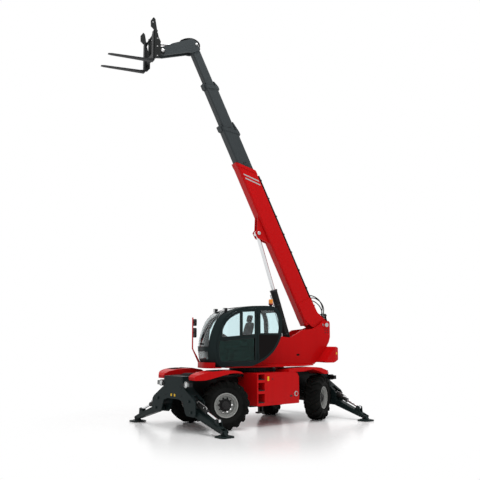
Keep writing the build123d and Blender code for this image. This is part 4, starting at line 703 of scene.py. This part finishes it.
def ram_lines():
    """Oil pipe, hose and their ports on a stabiliser ram, drawn along y from its foot pin."""
    pipe = [(0.0, PIPE_ENDS[0], 0.050), (0.0, 0.158, 0.078), (0.0, 0.200, 0.086), (0.0, 0.480, 0.086),
            (0.0, 0.535, 0.078), (0.0, PIPE_ENDS[1], 0.048)]
    hose = [(HOSE_SIDE, HOSE_ENDS[0], 0.046), (0.031, 0.188, 0.076), (0.034, 0.240, 0.083),
            (0.034, 0.400, 0.083), (0.031, 0.452, 0.076), (HOSE_SIDE, HOSE_ENDS[1], 0.046)]
    spots = [(0.0, at, 0.0) for at in PIPE_ENDS] + [(HOSE_SIDE, at, 0.0) for at in HOSE_ENDS]
    ports = [lathe(cap_profile(0.070, 0.013, 0.016, 0.066, -0.040), 6, spot) for spot in spots]
    pipe = tube(smooth(pipe, 6), 0.009, 10, hint=(1, 0, 0))
    hose = tube(smooth(hose, 6), 0.010, 10, hint=(1, 0, 0))
    return pipe, hose, ports


def stabiliser_trim():
    """Gland nuts, oil lines with their ports, pin caps and flange ribs of the four stabilisers."""
    glands = [lathe(collar(0.0325, 0.060, 0.572, 0.614), 32, axis="y"),
              lathe(collar(0.050, 0.057, 0.118, 0.150), 32, axis="y")]
    pipe, hose, ports = ram_lines()
    cap = cap_profile(0.016, 0.022, 0.031, 0.010, 0.012)
    span = math.hypot(PAD_PIN[0] - ARM_PIN[0], PAD_PIN[1] - ARM_PIN[1])
    caps = cap_pair(cap, 20, (0.0, span, 0.0), 0.080 + CAP_STAND, "x")
    caps += cap_pair(cap, 20, (0.0, *ROD_EYE), 0.066, "x")
    flange = np.array([(0.16, 0.074), (0.96, 0.048), (0.96, 0.036), (0.16, 0.058)])
    ribs = []
    for way in (1, -1):
        ribs += [plate(flange * (1, way), side * 0.079, side * 0.088, "yz", 0.002) for side in (1, -1)]
    for name, end, flank in CORNERS:
        ram = line_place(end, flank, RAM_PIN, arm_eye())
        piece(f"ram_gland_{name}", placed(glands, ram), "steel_dark", f"stab_barrel_{name}")
        piece(f"ram_pipe_{name}", placed([pipe, *ports], ram), "steel_bright", f"stab_barrel_{name}")
        piece(f"ram_hose_{name}", placed([hose], ram), "rubber", f"stab_barrel_{name}")
        arm = line_place(end, flank, ARM_PIN, PAD_PIN)
        piece(f"arm_pins_{name}", placed(caps, arm), "steel_dark", f"stab_arm_{name}")
        piece(f"arm_ribs_{name}", placed(ribs, arm), "paint_slate", f"stab_arm_{name}")


lamp_glass()
housing_trim()
ring_teeth()
tank_side()
tread_grips()
deck_trim()
deck_hoses()
stabiliser_trim()

# Cab.

CAB_IN, CAB_OUT = 0.205, 1.120
CAB_MID, CAB_HALF, CAB_BULGE = (CAB_IN + CAB_OUT) / 2, (CAB_OUT - CAB_IN) / 2, 0.200
CAB_RING = np.array([
    (1.270, 1.515), (1.440, 1.555), (1.520, 1.690), (1.550, 1.850), (1.560, 2.000), (1.530, 2.230),
    (1.450, 2.480), (1.340, 2.690), (1.170, 2.850), (0.920, 2.975), (0.630, 3.042), (0.330, 3.060),
    (-0.040, 3.055), (-0.190, 3.010), (-0.285, 2.890), (-0.345, 2.710), (-0.360, 2.480), (-0.330, 2.285),
    (-0.250, 2.100), (-0.120, 1.905), (0.080, 1.725), (0.310, 1.595), (0.560, 1.518), (0.800, 1.515),
    (1.050, 1.513),
])
DOOR_LOW, DOOR_REAR, DOOR_RING = 1.580, 0.375, 0.062
PANE_EDGE, STILE, MULLION = 0.052, 0.055, (0.790, 0.850)
DOOR_GLASS_OUT = 1.097
QUARTER_PANE = [(0.285, 2.345), (0.285, 2.950), (-0.110, 2.960), (-0.215, 2.860), (-0.265, 2.700),
                (-0.275, 2.480), (-0.250, 2.330)]
FAR_PANE = [(1.380, 2.150), (1.350, 2.430), (1.240, 2.640), (1.080, 2.790), (0.860, 2.900), (0.560, 2.955),
            (-0.110, 2.960), (-0.215, 2.860), (-0.265, 2.700), (-0.275, 2.330)]
SCREENS = ((2.010, 2.900, 0.095), (1.690, 1.900, 0.120))
LAMP_IN, LAMP_HALF, ROOF_LAMP = 0.130, 0.050, (2.910, 2.980)
MIRROR_Y, MIRRORS = (0.230, 0.400), ((2.240, 0.250), (2.540, 0.180))
BEACON_X, BEACON_Y, BEACON_FOOT = -0.150, 0.870, 3.100


def sill(x):
    """Height of the door's middle rail at x."""
    return 2.235 + 0.09 * (1.400 - x)


def front_chain(amount, low, rear):
    """Front of the cab's ring, drawn in by amount, above low and ahead of rear."""
    chain = inset(CAB_RING, amount)[:13]
    return chain[(chain[:, 1] > low) & (chain[:, 0] > rear)]


def door_panes():
    """Outlines of the door's front, rear and low panes, as cut in the leaf."""
    rear = DOOR_REAR + STILE
    sill_front = sill(1.4)
    chain = front_chain(DOOR_RING + PANE_EDGE, sill_front + 0.060, 0.840)
    top = chain[-1, 1] + 0.034
    post = MULLION[1]
    foot = [(post, chain[-1, 1]), (post, sill(post)), (chain[0, 0] + 0.014, sill(chain[0, 0]))]
    ahead = np.concatenate([smooth(chain, 5), foot])
    post = MULLION[0]
    behind = np.array([(post, sill(post)), (post, top), (rear, top + 0.022), (rear, sill(rear))])
    low = front_chain(DOOR_RING + PANE_EDGE, DOOR_LOW + 0.080, 0.840)
    low = low[low[:, 1] < sill_front - 0.110]
    floor = DOOR_LOW + STILE
    back = [(low[-1, 0] - 0.010, sill_front - 0.080), (rear, sill(rear) - 0.080), (rear, floor),
            (low[0, 0] - 0.050, floor)]
    under = np.concatenate([smooth(low, 5), back])
    return ahead, behind, under


def spaced(outline, gap):
    """Closed outline cut into near equal steps of about gap along its length."""
    p = np.asarray(outline, float)
    q = np.concatenate([p, p[:1]])
    run = np.concatenate([[0], np.cumsum(np.linalg.norm(np.diff(q, axis=0), axis=1))])
    at = np.linspace(0, run[-1], max(8, int(run[-1] / gap)), endpoint=False)
    return np.stack([np.interp(at, run, q[:, 0]), np.interp(at, run, q[:, 1])], 1)


def seal(outline, y, radius=0.008, draw=0.005):
    """Rubber bead round a flat pane at depth y, a little inside its opening."""
    flat = spaced(inset(outline, draw), 0.03)
    path = np.stack([flat[:, 0], np.full(len(flat), y), flat[:, 1]], 1)
    return tube(path, radius, 8, True)


def skin(z, y, out):
    """x of the cab's front at height z and width y: the side outline, a bulge fading sideways, and out."""
    ring = smooth(CAB_RING, 10, True)[:110]
    x = np.interp(z, ring[:, 1], ring[:, 0])
    way = (np.asarray(y) - CAB_MID) / CAB_HALF
    return x + CAB_BULGE * (1 - way ** 4) * np.clip((x - 0.5) / 0.6, 0, 1) + out


def screen_seal(low, high, edge, radius=0.009):
    """Bead round a pane of the bulging front between two heights, edge in from the cab's sides."""
    left, right = CAB_IN + edge, CAB_OUT - edge
    up = np.linspace(low, high, 30)
    across = np.linspace(left, right, 24)[1:-1]
    y = np.concatenate([np.full_like(up, left), across, np.full_like(up, right), across[::-1]])
    z = np.concatenate([up, np.full_like(across, high), up[::-1], np.full_like(across, low)])
    path = np.stack([skin(z, y, -0.004), y, z], 1)
    return tube(path, radius, 8, True, hint=(1.0, 0.02, 0.03))


def cab_panes():
    """Rubber seals of the panes, the low door pane's tint and the gloss panel under the quarter pane."""
    panes = door_panes()
    beads = [seal(pane, CAB_OUT - 0.004) for pane in panes]
    piece("door_seals", placed(beads, turret), "rubber", "door")
    shell = [seal(QUARTER_PANE, CAB_OUT - 0.005), seal(FAR_PANE, CAB_IN + 0.005)]
    shell += [screen_seal(*screen) for screen in SCREENS]
    piece("cab_seals", placed(shell, turret), "rubber", "turret")
    smoked = plate(inset(panes[2], -0.004), DOOR_GLASS_OUT - 0.0035, DOOR_GLASS_OUT + 0.0015, "xz", 0.001)
    piece("smoked_pane", placed([smoked], turret), "glass_smoked", "door")
    ring = inset(CAB_RING, 0.060)[17:22]
    outline = np.concatenate([smooth(ring, 5), [(0.322, 1.668), (0.322, 2.315), (-0.262, 2.300)]])
    panel = plate(outline, CAB_OUT - 0.002, CAB_OUT + 0.003, "xz", 0.002)
    piece("quarter_panel", placed([panel], turret), "panel_gloss", "turret")


def wiper():
    """Wiper arm and blade that follow the screen's bulge, on a turned pivot."""
    t = np.linspace(0, 1, 26)
    foot_y, foot_z, sweep = 0.720, 2.080, 0.640
    z, y = foot_z + 0.005 + sweep * t, foot_y + 0.160 * t
    arm = np.stack([skin(z, y, 0.030 + 0.012 * np.sin(np.pi * t)), y, z], 1)
    z, y = foot_z + 0.140 + sweep * t, foot_y + 0.070 + 0.140 * t
    blade = np.stack([skin(z, y, 0.012), y, z], 1)
    spot = (float(skin(foot_z, foot_y, -0.010)), foot_y, foot_z)
    pivot = lathe(cap_profile(0.050, 0.018, 0.026, 0.040, 0.0), 18, spot, "x")
    parts = [tube(arm, 0.008, 8), tube(blade, 0.010, 8), pivot]
    piece("wiper", placed(parts, turret), "plastic_black", "turret")


def cab_lights():
    """Lenses of the roof's work lamps and faces of the mirrors, rounded plates."""
    lamps, glasses = [], []
    for y in (CAB_IN + LAMP_IN, CAB_OUT - LAMP_IN):
        lens = rounded((y - LAMP_HALF, y + LAMP_HALF), ROOF_LAMP, 0.012)
        lamps.append(plate(lens, 1.258, 1.268, "yz", 0.004))
    for z, high in MIRRORS:
        face = rounded(MIRROR_Y, (z + 0.010, z + high - 0.010), 0.042)
        glasses.append(plate(face, 1.776, 1.7715, "yz", 0.002))
    piece("work_lamp_lenses", placed(lamps, turret), "lens_clear", "turret")
    piece("mirror_faces", placed(glasses, turret), "mirror_glass", "turret")


def beacon():
    """Beacon's lens, a turned profile whose radius ripples round it into flutes, on a ringed foot."""
    flutes = 24
    a = np.linspace(0, 2 * np.pi, 4 * flutes, endpoint=False)
    level = np.array([0.033, 0.050, 0.125, 0.138, 0.146, 0.1515, 0.1515, 0.033]) + BEACON_FOOT
    wide = np.array([0.0575, 0.0575, 0.0575, 0.052, 0.041, 0.020, 0.0, 0.0575])[:, None]
    reach = wide * (1 + 0.018 * np.cos(flutes * a)[None] * (wide > 0.05))
    height = np.repeat(level[:, None], len(a), 1)
    dome = np.stack([BEACON_X + reach * np.cos(a), BEACON_Y + reach * np.sin(a), height], -1)
    lens = (dome.reshape(-1, 3), band_faces(len(level), len(a), False, True))
    piece("beacon_lens", placed([lens], turret), "amber", "turret")
    section = [(0.044, 0.0), (0.060, 0.008), (0.066, 0.020), (0.066, 0.034), (0.0585, 0.040), (0.044, 0.040),
               (0.044, 0.0)]
    foot = lathe(section, 36, (BEACON_X, BEACON_Y, BEACON_FOOT))
    piece("beacon_foot", placed([foot], turret), "lens_red", "turret")


def cushion(centre, size, lean=0.0, power=0.38, seams=0):
    """Stuffed pad: a rounded box (superellipsoid) whose faces crown outwards, with sewn channels across."""
    u = np.linspace(-np.pi, np.pi, 96, endpoint=False)
    v = np.linspace(-np.pi / 2, np.pi / 2, 49)

    def bend(w):
        return np.sign(w) * np.abs(w) ** power

    x = bend(np.cos(v))[:, None] * bend(np.cos(u))[None]
    y = bend(np.cos(v))[:, None] * bend(np.sin(u))[None]
    z = np.repeat(bend(np.sin(v))[:, None], len(u), 1)
    crown = 1 + 0.16 * (1 - x ** 2) * (1 - y ** 2)
    z = z * crown * 0.86
    for at in np.linspace(-0.55, 0.55, seams) if seams else ():
        z = z - 0.10 * np.sign(z) * np.exp(-((x - at) / 0.035) ** 2) * (np.abs(y) < 0.93)
    z = z - 0.08 * np.sign(z) * np.exp(-((np.abs(y) - 0.70) / 0.03) ** 2) * (np.abs(x) < 0.95)
    p = np.stack([x * size[0], y * size[1], z * size[2]], -1).reshape(-1, 3) / 2
    c, s = math.cos(lean), math.sin(lean)
    turned = np.stack([p[:, 0] * c + p[:, 2] * s, p[:, 1], -p[:, 0] * s + p[:, 2] * c], 1)
    return turned + np.asarray(centre), band_faces(len(v), len(u), False, True)


def seat_stand(floor):
    """Bellows of a rounded box whose walls wave in and out with height, head rest posts and arm stays."""
    base = rounded((0.565, 0.925), (CAB_MID - 0.165, CAB_MID + 0.165), 0.040)
    rows, n = 19, len(base)
    wave = 1 + 0.035 * np.cos(np.arange(rows) * np.pi)
    level = np.linspace(floor, floor + 0.335, rows)
    middle = base.mean(0)
    flat = (base - middle)[None] * wave[:, None, None] + middle
    walls = np.concatenate([flat, np.repeat(level[:, None, None], n, 1)], -1)
    lids = [list(range(n))[::-1], list(range((rows - 1) * n, rows * n))]
    parts = [(walls.reshape(-1, 3), band_faces(rows, n, False, True) + lids)]
    for y in (CAB_MID - 0.060, CAB_MID + 0.060):
        parts.append(tube([(0.372, y, floor + 1.03), (0.366, y, floor + 1.10)], 0.008, 8))
    for way in (-1, 1):
        stay = [(0.545, CAB_MID + way * 0.215, floor + 0.520), (0.545, CAB_MID + way * 0.270, floor + 0.585)]
        parts.append(tube(stay, 0.016, 10, hint=(1, 0, 0)))
    piece("seat_stand", placed(parts, turret), "plastic_black", "turret")


def seat():
    """Driver's seat: cushion, back, head rest and arm pads on a bellows stand."""
    floor = 1.570
    back, rest, arm = (math.radians(angle) for angle in (-105.0, -102.0, -5.0))
    pads = {
        "seat_cushion": cushion((0.735, CAB_MID, floor + 0.395), (0.560, 0.480, 0.120), 0.03, seams=3),
        "seat_back": cushion((0.445, CAB_MID, floor + 0.760), (0.640, 0.470, 0.110), back, seams=4),
        "head_rest": cushion((0.378, CAB_MID, floor + 1.165), (0.180, 0.255, 0.085), rest),
    }
    for side, way in (("left", 1), ("right", -1)):
        spot = (0.705, CAB_MID + way * 0.290, floor + 0.615)
        pads[f"arm_pad_{side}"] = cushion(spot, (0.390, 0.080, 0.056), arm)
    for name, part in pads.items():
        pad = piece(name, placed([part], turret), "seat_cloth", "turret", 70.0)
        if name == "seat_cushion":
            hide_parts("seat")
    seat_stand(floor)


cab_panes()
wiper()
cab_lights()
beacon()
seat()

# Turret and boom.

CRADLE_OUT = 0.104
SEC_OFF = -0.316
SEC_W = (0.375, 0.323, 0.275)
SEC_END = (5.330, 6.430, 7.700)
SECTION_BODY = ("boom", "boom_2", "boom_3")
STRIPE_AT, STRIPE_SLANT = (4.560, 4.440), 0.346
PAD_BACK = 0.160
FOOT_PIN_HALF = 0.332
TAIL_LABEL = (-2.385, 0.530)
CHAMFER_RUN, CHAMFER_OUT = np.array([-0.908, -0.419]), np.array([-0.419, 0.908])
LIFT_FOOT, LIFT_EYE = (-1.350, 1.735), (3.215, -0.745)
TILT_PIN, HEAD_PIN = (8.845, -0.242), (8.930, -1.318)
TILT_ARM, TILT_TURN = 0.260, math.radians(75.0)
FORK_Y, CARRIAGE_SIDE = 0.430, 0.527


def along_line(start, finish):
    """Placing for points drawn along x from one turret side point towards another, in the boom's plane."""
    rise = math.atan2(finish[1] - start[1], finish[0] - start[0])
    c, s = math.cos(rise), math.sin(rise)

    def place(points):
        p = np.asarray(points, float)
        x = start[0] + p[:, 0] * c - p[:, 2] * s
        z = start[1] + p[:, 0] * s + p[:, 2] * c
        return turret(np.stack([x, BOOM_Y + p[:, 1], z], 1))

    return place


def foot_pin_trim():
    """Keepers on both ends of the boom's foot pin: a cap, a plate and its bolt."""
    x, z = BOOM_FOOT[0], BOOM_FOOT[2]
    keepers = cap_pair(cap_profile(0.010, 0.046, 0.058, 0.004, 0.020), 32, (x, BOOM_Y, z), FOOT_PIN_HALF, "y")
    heads = []
    wing = rounded((x - 0.030, x + 0.130), (z - 0.028, z + 0.028), 0.020)
    for way in (1, -1):
        y = BOOM_Y + way * FOOT_PIN_HALF
        keepers.append(plate(wing, y - way * 0.028, y - way * 0.012, "xz", 0.003))
        heads.append(bolts([(x + 0.108, y - way * 0.012, z)], heading("y", way), 0.012, 0.012))
    piece("foot_pin_keepers", placed(keepers, turret), "steel_bright", "turret")
    piece("foot_pin_bolts", placed(heads, turret), "steel_dark", "turret")


def turret_trim():
    """Painted shade of the lifting slot (a flat dark plate where the hole is), blank label, bonnet slats and
    latches, and the bolts of the turret's ears.
    """
    # No hole is cut: a flat gloss black plate on the cradle paints the shade inside the lifting slot.
    hole = rounded((-1.430, -1.330), (1.735, 1.785), 0.024)
    slot = plate(hole, CRADLE_OUT - 0.001, CRADLE_OUT + 0.003, "xz", 0.001)
    piece("lifting_slot_shade", placed([slot], turret), "panel_gloss", "turret")
    label, faces = plate(rounded((-0.030, 0.030), (1.770, 1.830), 0.006), -0.0005, 0.0025, "xz", 0.001)
    flat = np.array(TAIL_LABEL) + label[:, :1] * CHAMFER_RUN + label[:, 1:2] * CHAMFER_OUT
    tag = (np.concatenate([flat, label[:, 2:]], 1), faces)
    piece("tail_label", placed([tag], turret), "label_yellow", "turret")
    blade = np.array([(-1.000, 0.0), (-0.966, 0.022), (-0.963, 0.019), (-0.997, -0.004)])
    slats = [plate(blade + (0, z), -1.520, -0.620, "yz", 0.0008) for z in np.linspace(1.630, 1.870, 8)]
    piece("bonnet_slats", placed(slats, turret), "steel_dark", "turret")
    catch = rounded((0.0, 0.090), (1.560, 1.600), 0.010)
    catches = [plate(catch + (x, 0), -1.009, -1.024, "xz", 0.004) for x in (-1.30, -0.20)]
    piece("bonnet_latches", placed(catches, turret), "plastic_black", "turret")
    rivets = [(x, CRADLE_OUT, z) for x, z in ((-2.36, 2.45), (-2.28, 2.45), (-2.36, 2.38), (-2.28, 2.38))]
    piece("ear_bolts", placed([bolts(rivets, "+y", 0.011, 0.010)], turret), "steel_dark", "turret")


def boom_trim():
    """Diagonal stripes on the red section and the wear pad bolts at each section's end."""
    stripe = np.array([(0.0, -0.135), (0.045, -0.135), (0.045 + STRIPE_SLANT, -0.497),
                       (STRIPE_SLANT, -0.497)])
    stripes = []
    for side in (1, -1):
        y = side * SEC_W[0] / 2
        stripes += [plate(stripe + (l, 0), y, y + side * 0.0025, "xz", 0.001) for l in STRIPE_AT]
    piece("boom_stripes", placed(stripes, boom), "silver_band", "boom")
    for index, body in enumerate(SECTION_BODY):
        heads = []
        mid = SEC_END[index] - PAD_BACK
        for side in (1, -1):
            y = side * SEC_W[index] / 2
            spots = [(mid + l, y, SEC_OFF + t) for l in (-0.05, 0.05) for t in (-0.032, 0.032)]
            heads.append(bolts(spots, heading("y", side), 0.011, 0.011))
        piece(f"pad_bolts_{index + 1}", placed(heads, boom), "steel_dark", body)


def lift_trim():
    """Gland, pipe clips and oil pipe of the lift ram, and the caps of its eye pin."""
    lift = along_line(LIFT_FOOT, boom_spot(*LIFT_EYE))
    rings = [collar(0.0575, 0.109, 1.880, 1.944)]
    rings += [collar(0.098, 0.106, l, l + 0.030) for l in (0.62, 1.05, 1.48)]
    turns = (44, 36, 36, 36)
    glands = [lathe(ring, count, axis="x") for ring, count in zip(rings, turns)]
    piece("lift_gland", placed(glands, lift), "steel_dark", "lift_barrel")
    route = [(0.330, 0.0, -0.098), (0.345, 0.0, -0.128), (0.400, 0.0, -0.136), (1.700, 0.0, -0.136),
             (1.800, 0.0, -0.128), (1.815, 0.0, -0.096)]
    piece("lift_pipe", placed([tube(smooth(route, 6), 0.014, 12)], lift), "steel_bright", "lift_barrel")
    spot = (LIFT_EYE[0], 0.0, LIFT_EYE[1])
    eyes = cap_pair(cap_profile(0.012, 0.040, 0.052, 0.004, 0.014), 30, spot, 0.130, "y")
    piece("lift_eye_caps", placed(eyes, boom), "steel_bright", "boom")


def head_trim():
    """Pin caps of the head, hoses over the neck with their clamp, and the tilt ram's gland."""
    small = cap_profile(0.012, 0.026, 0.036, 0.006, 0.016)
    wide = cap_profile(0.014, 0.036, 0.050, 0.006, 0.018)
    caps = cap_pair(small, 24, (TILT_PIN[0], 0.0, TILT_PIN[1]), 0.154, "y")
    caps += cap_pair(wide, 28, (HEAD_PIN[0], 0.0, HEAD_PIN[1]), 0.200, "y")
    piece("head_pin_caps", placed(caps, boom), "steel_bright", "boom_4")
    hoses = []
    for y, lift in ((-0.045, 0.000), (0.000, 0.012), (0.045, 0.002)):
        route = [(8.685, y, -0.178), (8.735, y, -0.160 + lift), (8.82, 1.2 * y, -0.112 + lift),
                 (8.93, 1.4 * y, -0.128 + lift), (9.05, 1.3 * y, -0.245 + lift), (9.105, 1.2 * y, -0.42),
                 (9.10, y, -0.60)]
        hoses.append(tube(smooth(route, 8), 0.014, 10))
    piece("neck_hoses", placed(hoses, boom), "rubber", "boom_4")
    clamp = plate(rounded((-0.085, 0.085), (-0.196, -0.150), 0.012), 8.695, 8.730, "yz", 0.003)
    piece("neck_clamp", placed([clamp], boom), "steel_dark", "boom_4")
    foot, head = boom_spot(*TILT_PIN), boom_spot(*HEAD_PIN)
    eye = (head[0] + TILT_ARM * math.cos(TILT_TURN), head[1] + TILT_ARM * math.sin(TILT_TURN))
    gland = lathe(collar(0.0360, 0.069, 0.515, 0.566), 36, axis="x")
    piece("tilt_gland", placed([gland], along_line(foot, eye)), "steel_dark", "tilt_barrel")


def foot_hoses():
    """Hose loops from the turret to the boom's foot, smooth tubes bent between the two, and their unions."""
    side, top = (0.50, -0.052), -0.085
    loops = [
        (0.152, side, ((0.40, -0.046), (0.29, 0.010), (0.24, 0.115), (0.25, 0.200))),
        (0.120, side, ((0.38, -0.044), (0.25, 0.030), (0.19, 0.150), (0.21, 0.230))),
        (0.086, side, ((0.39, -0.040), (0.31, 0.050), (0.28, 0.150), (0.24, 0.215))),
        (0.020, (0.84, top), ((0.85, 0.020), (0.78, 0.165), (0.60, 0.285), (0.42, 0.300), (0.28, 0.235))),
        (-0.050, (0.76, top), ((0.77, 0.020), (0.70, 0.130), (0.54, 0.225), (0.39, 0.245), (0.27, 0.215))),
        (-0.120, (0.92, top), ((0.93, 0.020), (0.86, 0.185), (0.67, 0.330), (0.44, 0.345), (0.28, 0.250))),
    ]
    low = [(-2.405, 2.790), (-2.447, 2.660), (-2.440, 2.480), (-2.395, 2.300), (-2.330, 2.120),
           (-2.290, 1.905)]
    held = tuple(turret([(-2.40, BOOM_Y, 2.74)])[0])
    for number, (y, start, points) in enumerate(loops):
        flat = np.array([boom_spot(l, t) for l, t in (start, *points)] + low)
        share = np.linspace(0, 1, len(flat))
        sway = y + 0.018 * np.sin((2.6 + number) * share + number) * share
        path = smooth(np.stack([flat[:, 0], BOOM_Y + sway, flat[:, 1]], 1), 9)
        hose = piece(f"foot_hose_{number + 1}", placed([tube(path, 0.0145, 12)], turret), "rubber", None)
        tuple(boom([(start[0], 0.0, -0.05)])[0])
        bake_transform(hose)
    long_nut = cap_profile(0.03, 0.016, 0.022, 0.02, 0.035)
    short_nut = cap_profile(0.026, 0.018, 0.024, 0.018, 0.010)
    ends = [lathe(long_nut, 6, (side[0], y, side[1]), "x") for y in (0.084, 0.120, 0.156)]
    ends += [lathe(short_nut, 6, (start[0], y, -0.073)) for y, start, _ in loops[3:]]
    piece("hose_unions", placed(ends, boom), "steel_bright", "boom")


def carriage_trim():
    """Bolt heads on the fork carriage's side plates and the forks' top hooks."""
    x, z = boom_spot(*HEAD_PIN)

    def place(points):
        return turret(np.asarray(points, float) + (x, BOOM_Y, z))

    heads = []
    for way in (1, -1):
        y = way * CARRIAGE_SIDE
        spots = [(0.250, y, t) for t in (-0.330, -0.060, 0.160, 0.330)] + [(0.385, y, 0.600)]
        heads.append(bolts(spots, heading("y", way), 0.013, 0.012))
    piece("carriage_bolts", placed(heads, place), "steel_bright", "carriage")
    hook = rounded((-0.085, 0.085), (0.352, 0.412), 0.016)
    hooks = [plate(hook + (y, 0), 0.300, 0.352, "yz", 0.006) for y in (-FORK_Y, FORK_Y)]
    piece("fork_hooks", placed(hooks, place), "fork_steel", "carriage")


foot_pin_trim()
turret_trim()
boom_trim()
lift_trim()
head_trim()
foot_hoses()
carriage_trim()

# Stage: floor, light and camera.


def looking_rays(tree):
    """1 for rays that see the surround, straight, mirrored or through glass, and 0 for those that light."""
    path = node(tree, "ShaderNodeLightPath")
    seen = path.outputs["Is Camera Ray"]
    for other in ("Is Glossy Ray", "Is Transmission Ray"):
        either = node(tree, "ShaderNodeMath", operation="MAXIMUM")
        tree.links.new(seen, either.inputs[0])
        tree.links.new(path.outputs[other], either.inputs[1])
        seen = either.outputs[0]
    return seen


def stage_floor():
    """Pale floor that takes the part's shadow and, where it is looked at, fades into the white surround."""
    half, drop = 60.0, -0.002
    near, far_off = 3.4, 6.5
    mesh = bpy.data.meshes.new("floor")
    corners = [(-half, -half, drop), (half, -half, drop), (half, half, drop), (-half, half, drop)]
    mesh.from_pydata(corners, [], [(0, 1, 2, 3)])
    floor = bpy.data.objects.new("floor", mesh)
    bpy.context.scene.collection.objects.link(floor)
    mat = bpy.data.materials.new("floor_white")
    mat.use_nodes = True
    tree = mat.node_tree
    link = tree.links.new
    shader = tree.nodes["Principled BSDF"]
    shader.inputs["Base Color"].default_value = (0.94, 0.94, 0.94, 1)
    shader.inputs["Roughness"].default_value = 0.2
    shader.inputs["Specular IOR Level"].default_value = 0.16
    glow = node(tree, "ShaderNodeEmission", in_Color=(1.0, 1.0, 1.0, 1))
    where = node(tree, "ShaderNodeTexCoord")
    shift = node(tree, "ShaderNodeVectorMath", operation="SUBTRACT", in_1=(-0.6, 0.0, 0.0))
    link(where.outputs["Object"], shift.inputs[0])
    reach = node(tree, "ShaderNodeVectorMath", operation="LENGTH")
    link(shift.outputs[0], reach.inputs[0])
    far = node(tree, "ShaderNodeMapRange", interpolation_type="SMOOTHSTEP", in_1=near, in_2=far_off)
    link(reach.outputs["Value"], far.inputs["Value"])
    seen = node(tree, "ShaderNodeMath", operation="MULTIPLY")
    link(far.outputs[0], seen.inputs[0])
    link(looking_rays(tree), seen.inputs[1])
    blend = node(tree, "ShaderNodeMixShader")
    link(seen.outputs[0], blend.inputs[0])
    link(shader.outputs[0], blend.inputs[1])
    link(glow.outputs[0], blend.inputs[2])
    link(blend.outputs[0], tree.nodes["Material Output"].inputs["Surface"])
    floor.data.materials.append(mat)


def stage_light():
    """White surround and two broad soft lamps at a plain level."""
    scene = bpy.context.scene
    world = bpy.data.worlds.new("studio")
    scene.world = world
    world.use_nodes = True
    tree = world.node_tree
    sky = tree.nodes["Background"]
    sky.inputs["Color"].default_value = (1.0, 1.0, 1.0, 1)
    level = node(tree, "ShaderNodeMapRange", in_1=0.0, in_2=1.0, in_3=0.62, in_4=1.0)
    tree.links.new(looking_rays(tree), level.inputs["Value"])
    tree.links.new(level.outputs[0], sky.inputs["Strength"])
    for name, place, aim, energy, size in (
        ("top", (-1.0, 2.0, 17.0), (-0.6, 0.0, 1.0), 1500.0, 9.0),
        ("key", (8.0, 12.0, 12.0), (0.0, 0.0, 3.0), 420.0, 6.0),
    ):
        lamp = bpy.data.lights.new(name, "AREA")
        lamp.energy = energy
        lamp.size = size
        spot = bpy.data.objects.new(name, lamp)
        spot.location = place
        spot.rotation_euler = (Vector(aim) - Vector(place)).to_track_quat("-Z", "Y").to_euler()
        scene.collection.objects.link(spot)


def stage_camera():
    """Camera at the angle of the photograph, fitted to its points."""
    yaw, pitch = math.radians(39.29), math.radians(8.31)
    camera = bpy.data.cameras.new("camera")
    camera.sensor_width = 36.0
    camera.lens = 49.96
    camera.clip_end = 300.0
    eye = bpy.data.objects.new("camera", camera)
    eye.location = (11.273, 14.160, 2.247)
    ahead = Vector((-math.sin(yaw) * math.cos(pitch), -math.cos(yaw) * math.cos(pitch), math.sin(pitch)))
    eye.rotation_euler = ahead.to_track_quat("-Z", "Y").to_euler()
    bpy.context.scene.collection.objects.link(eye)
    bpy.context.scene.camera = eye


stage_floor()
stage_light()
stage_camera()
bpy.context.scene.view_settings.view_transform = "Standard"
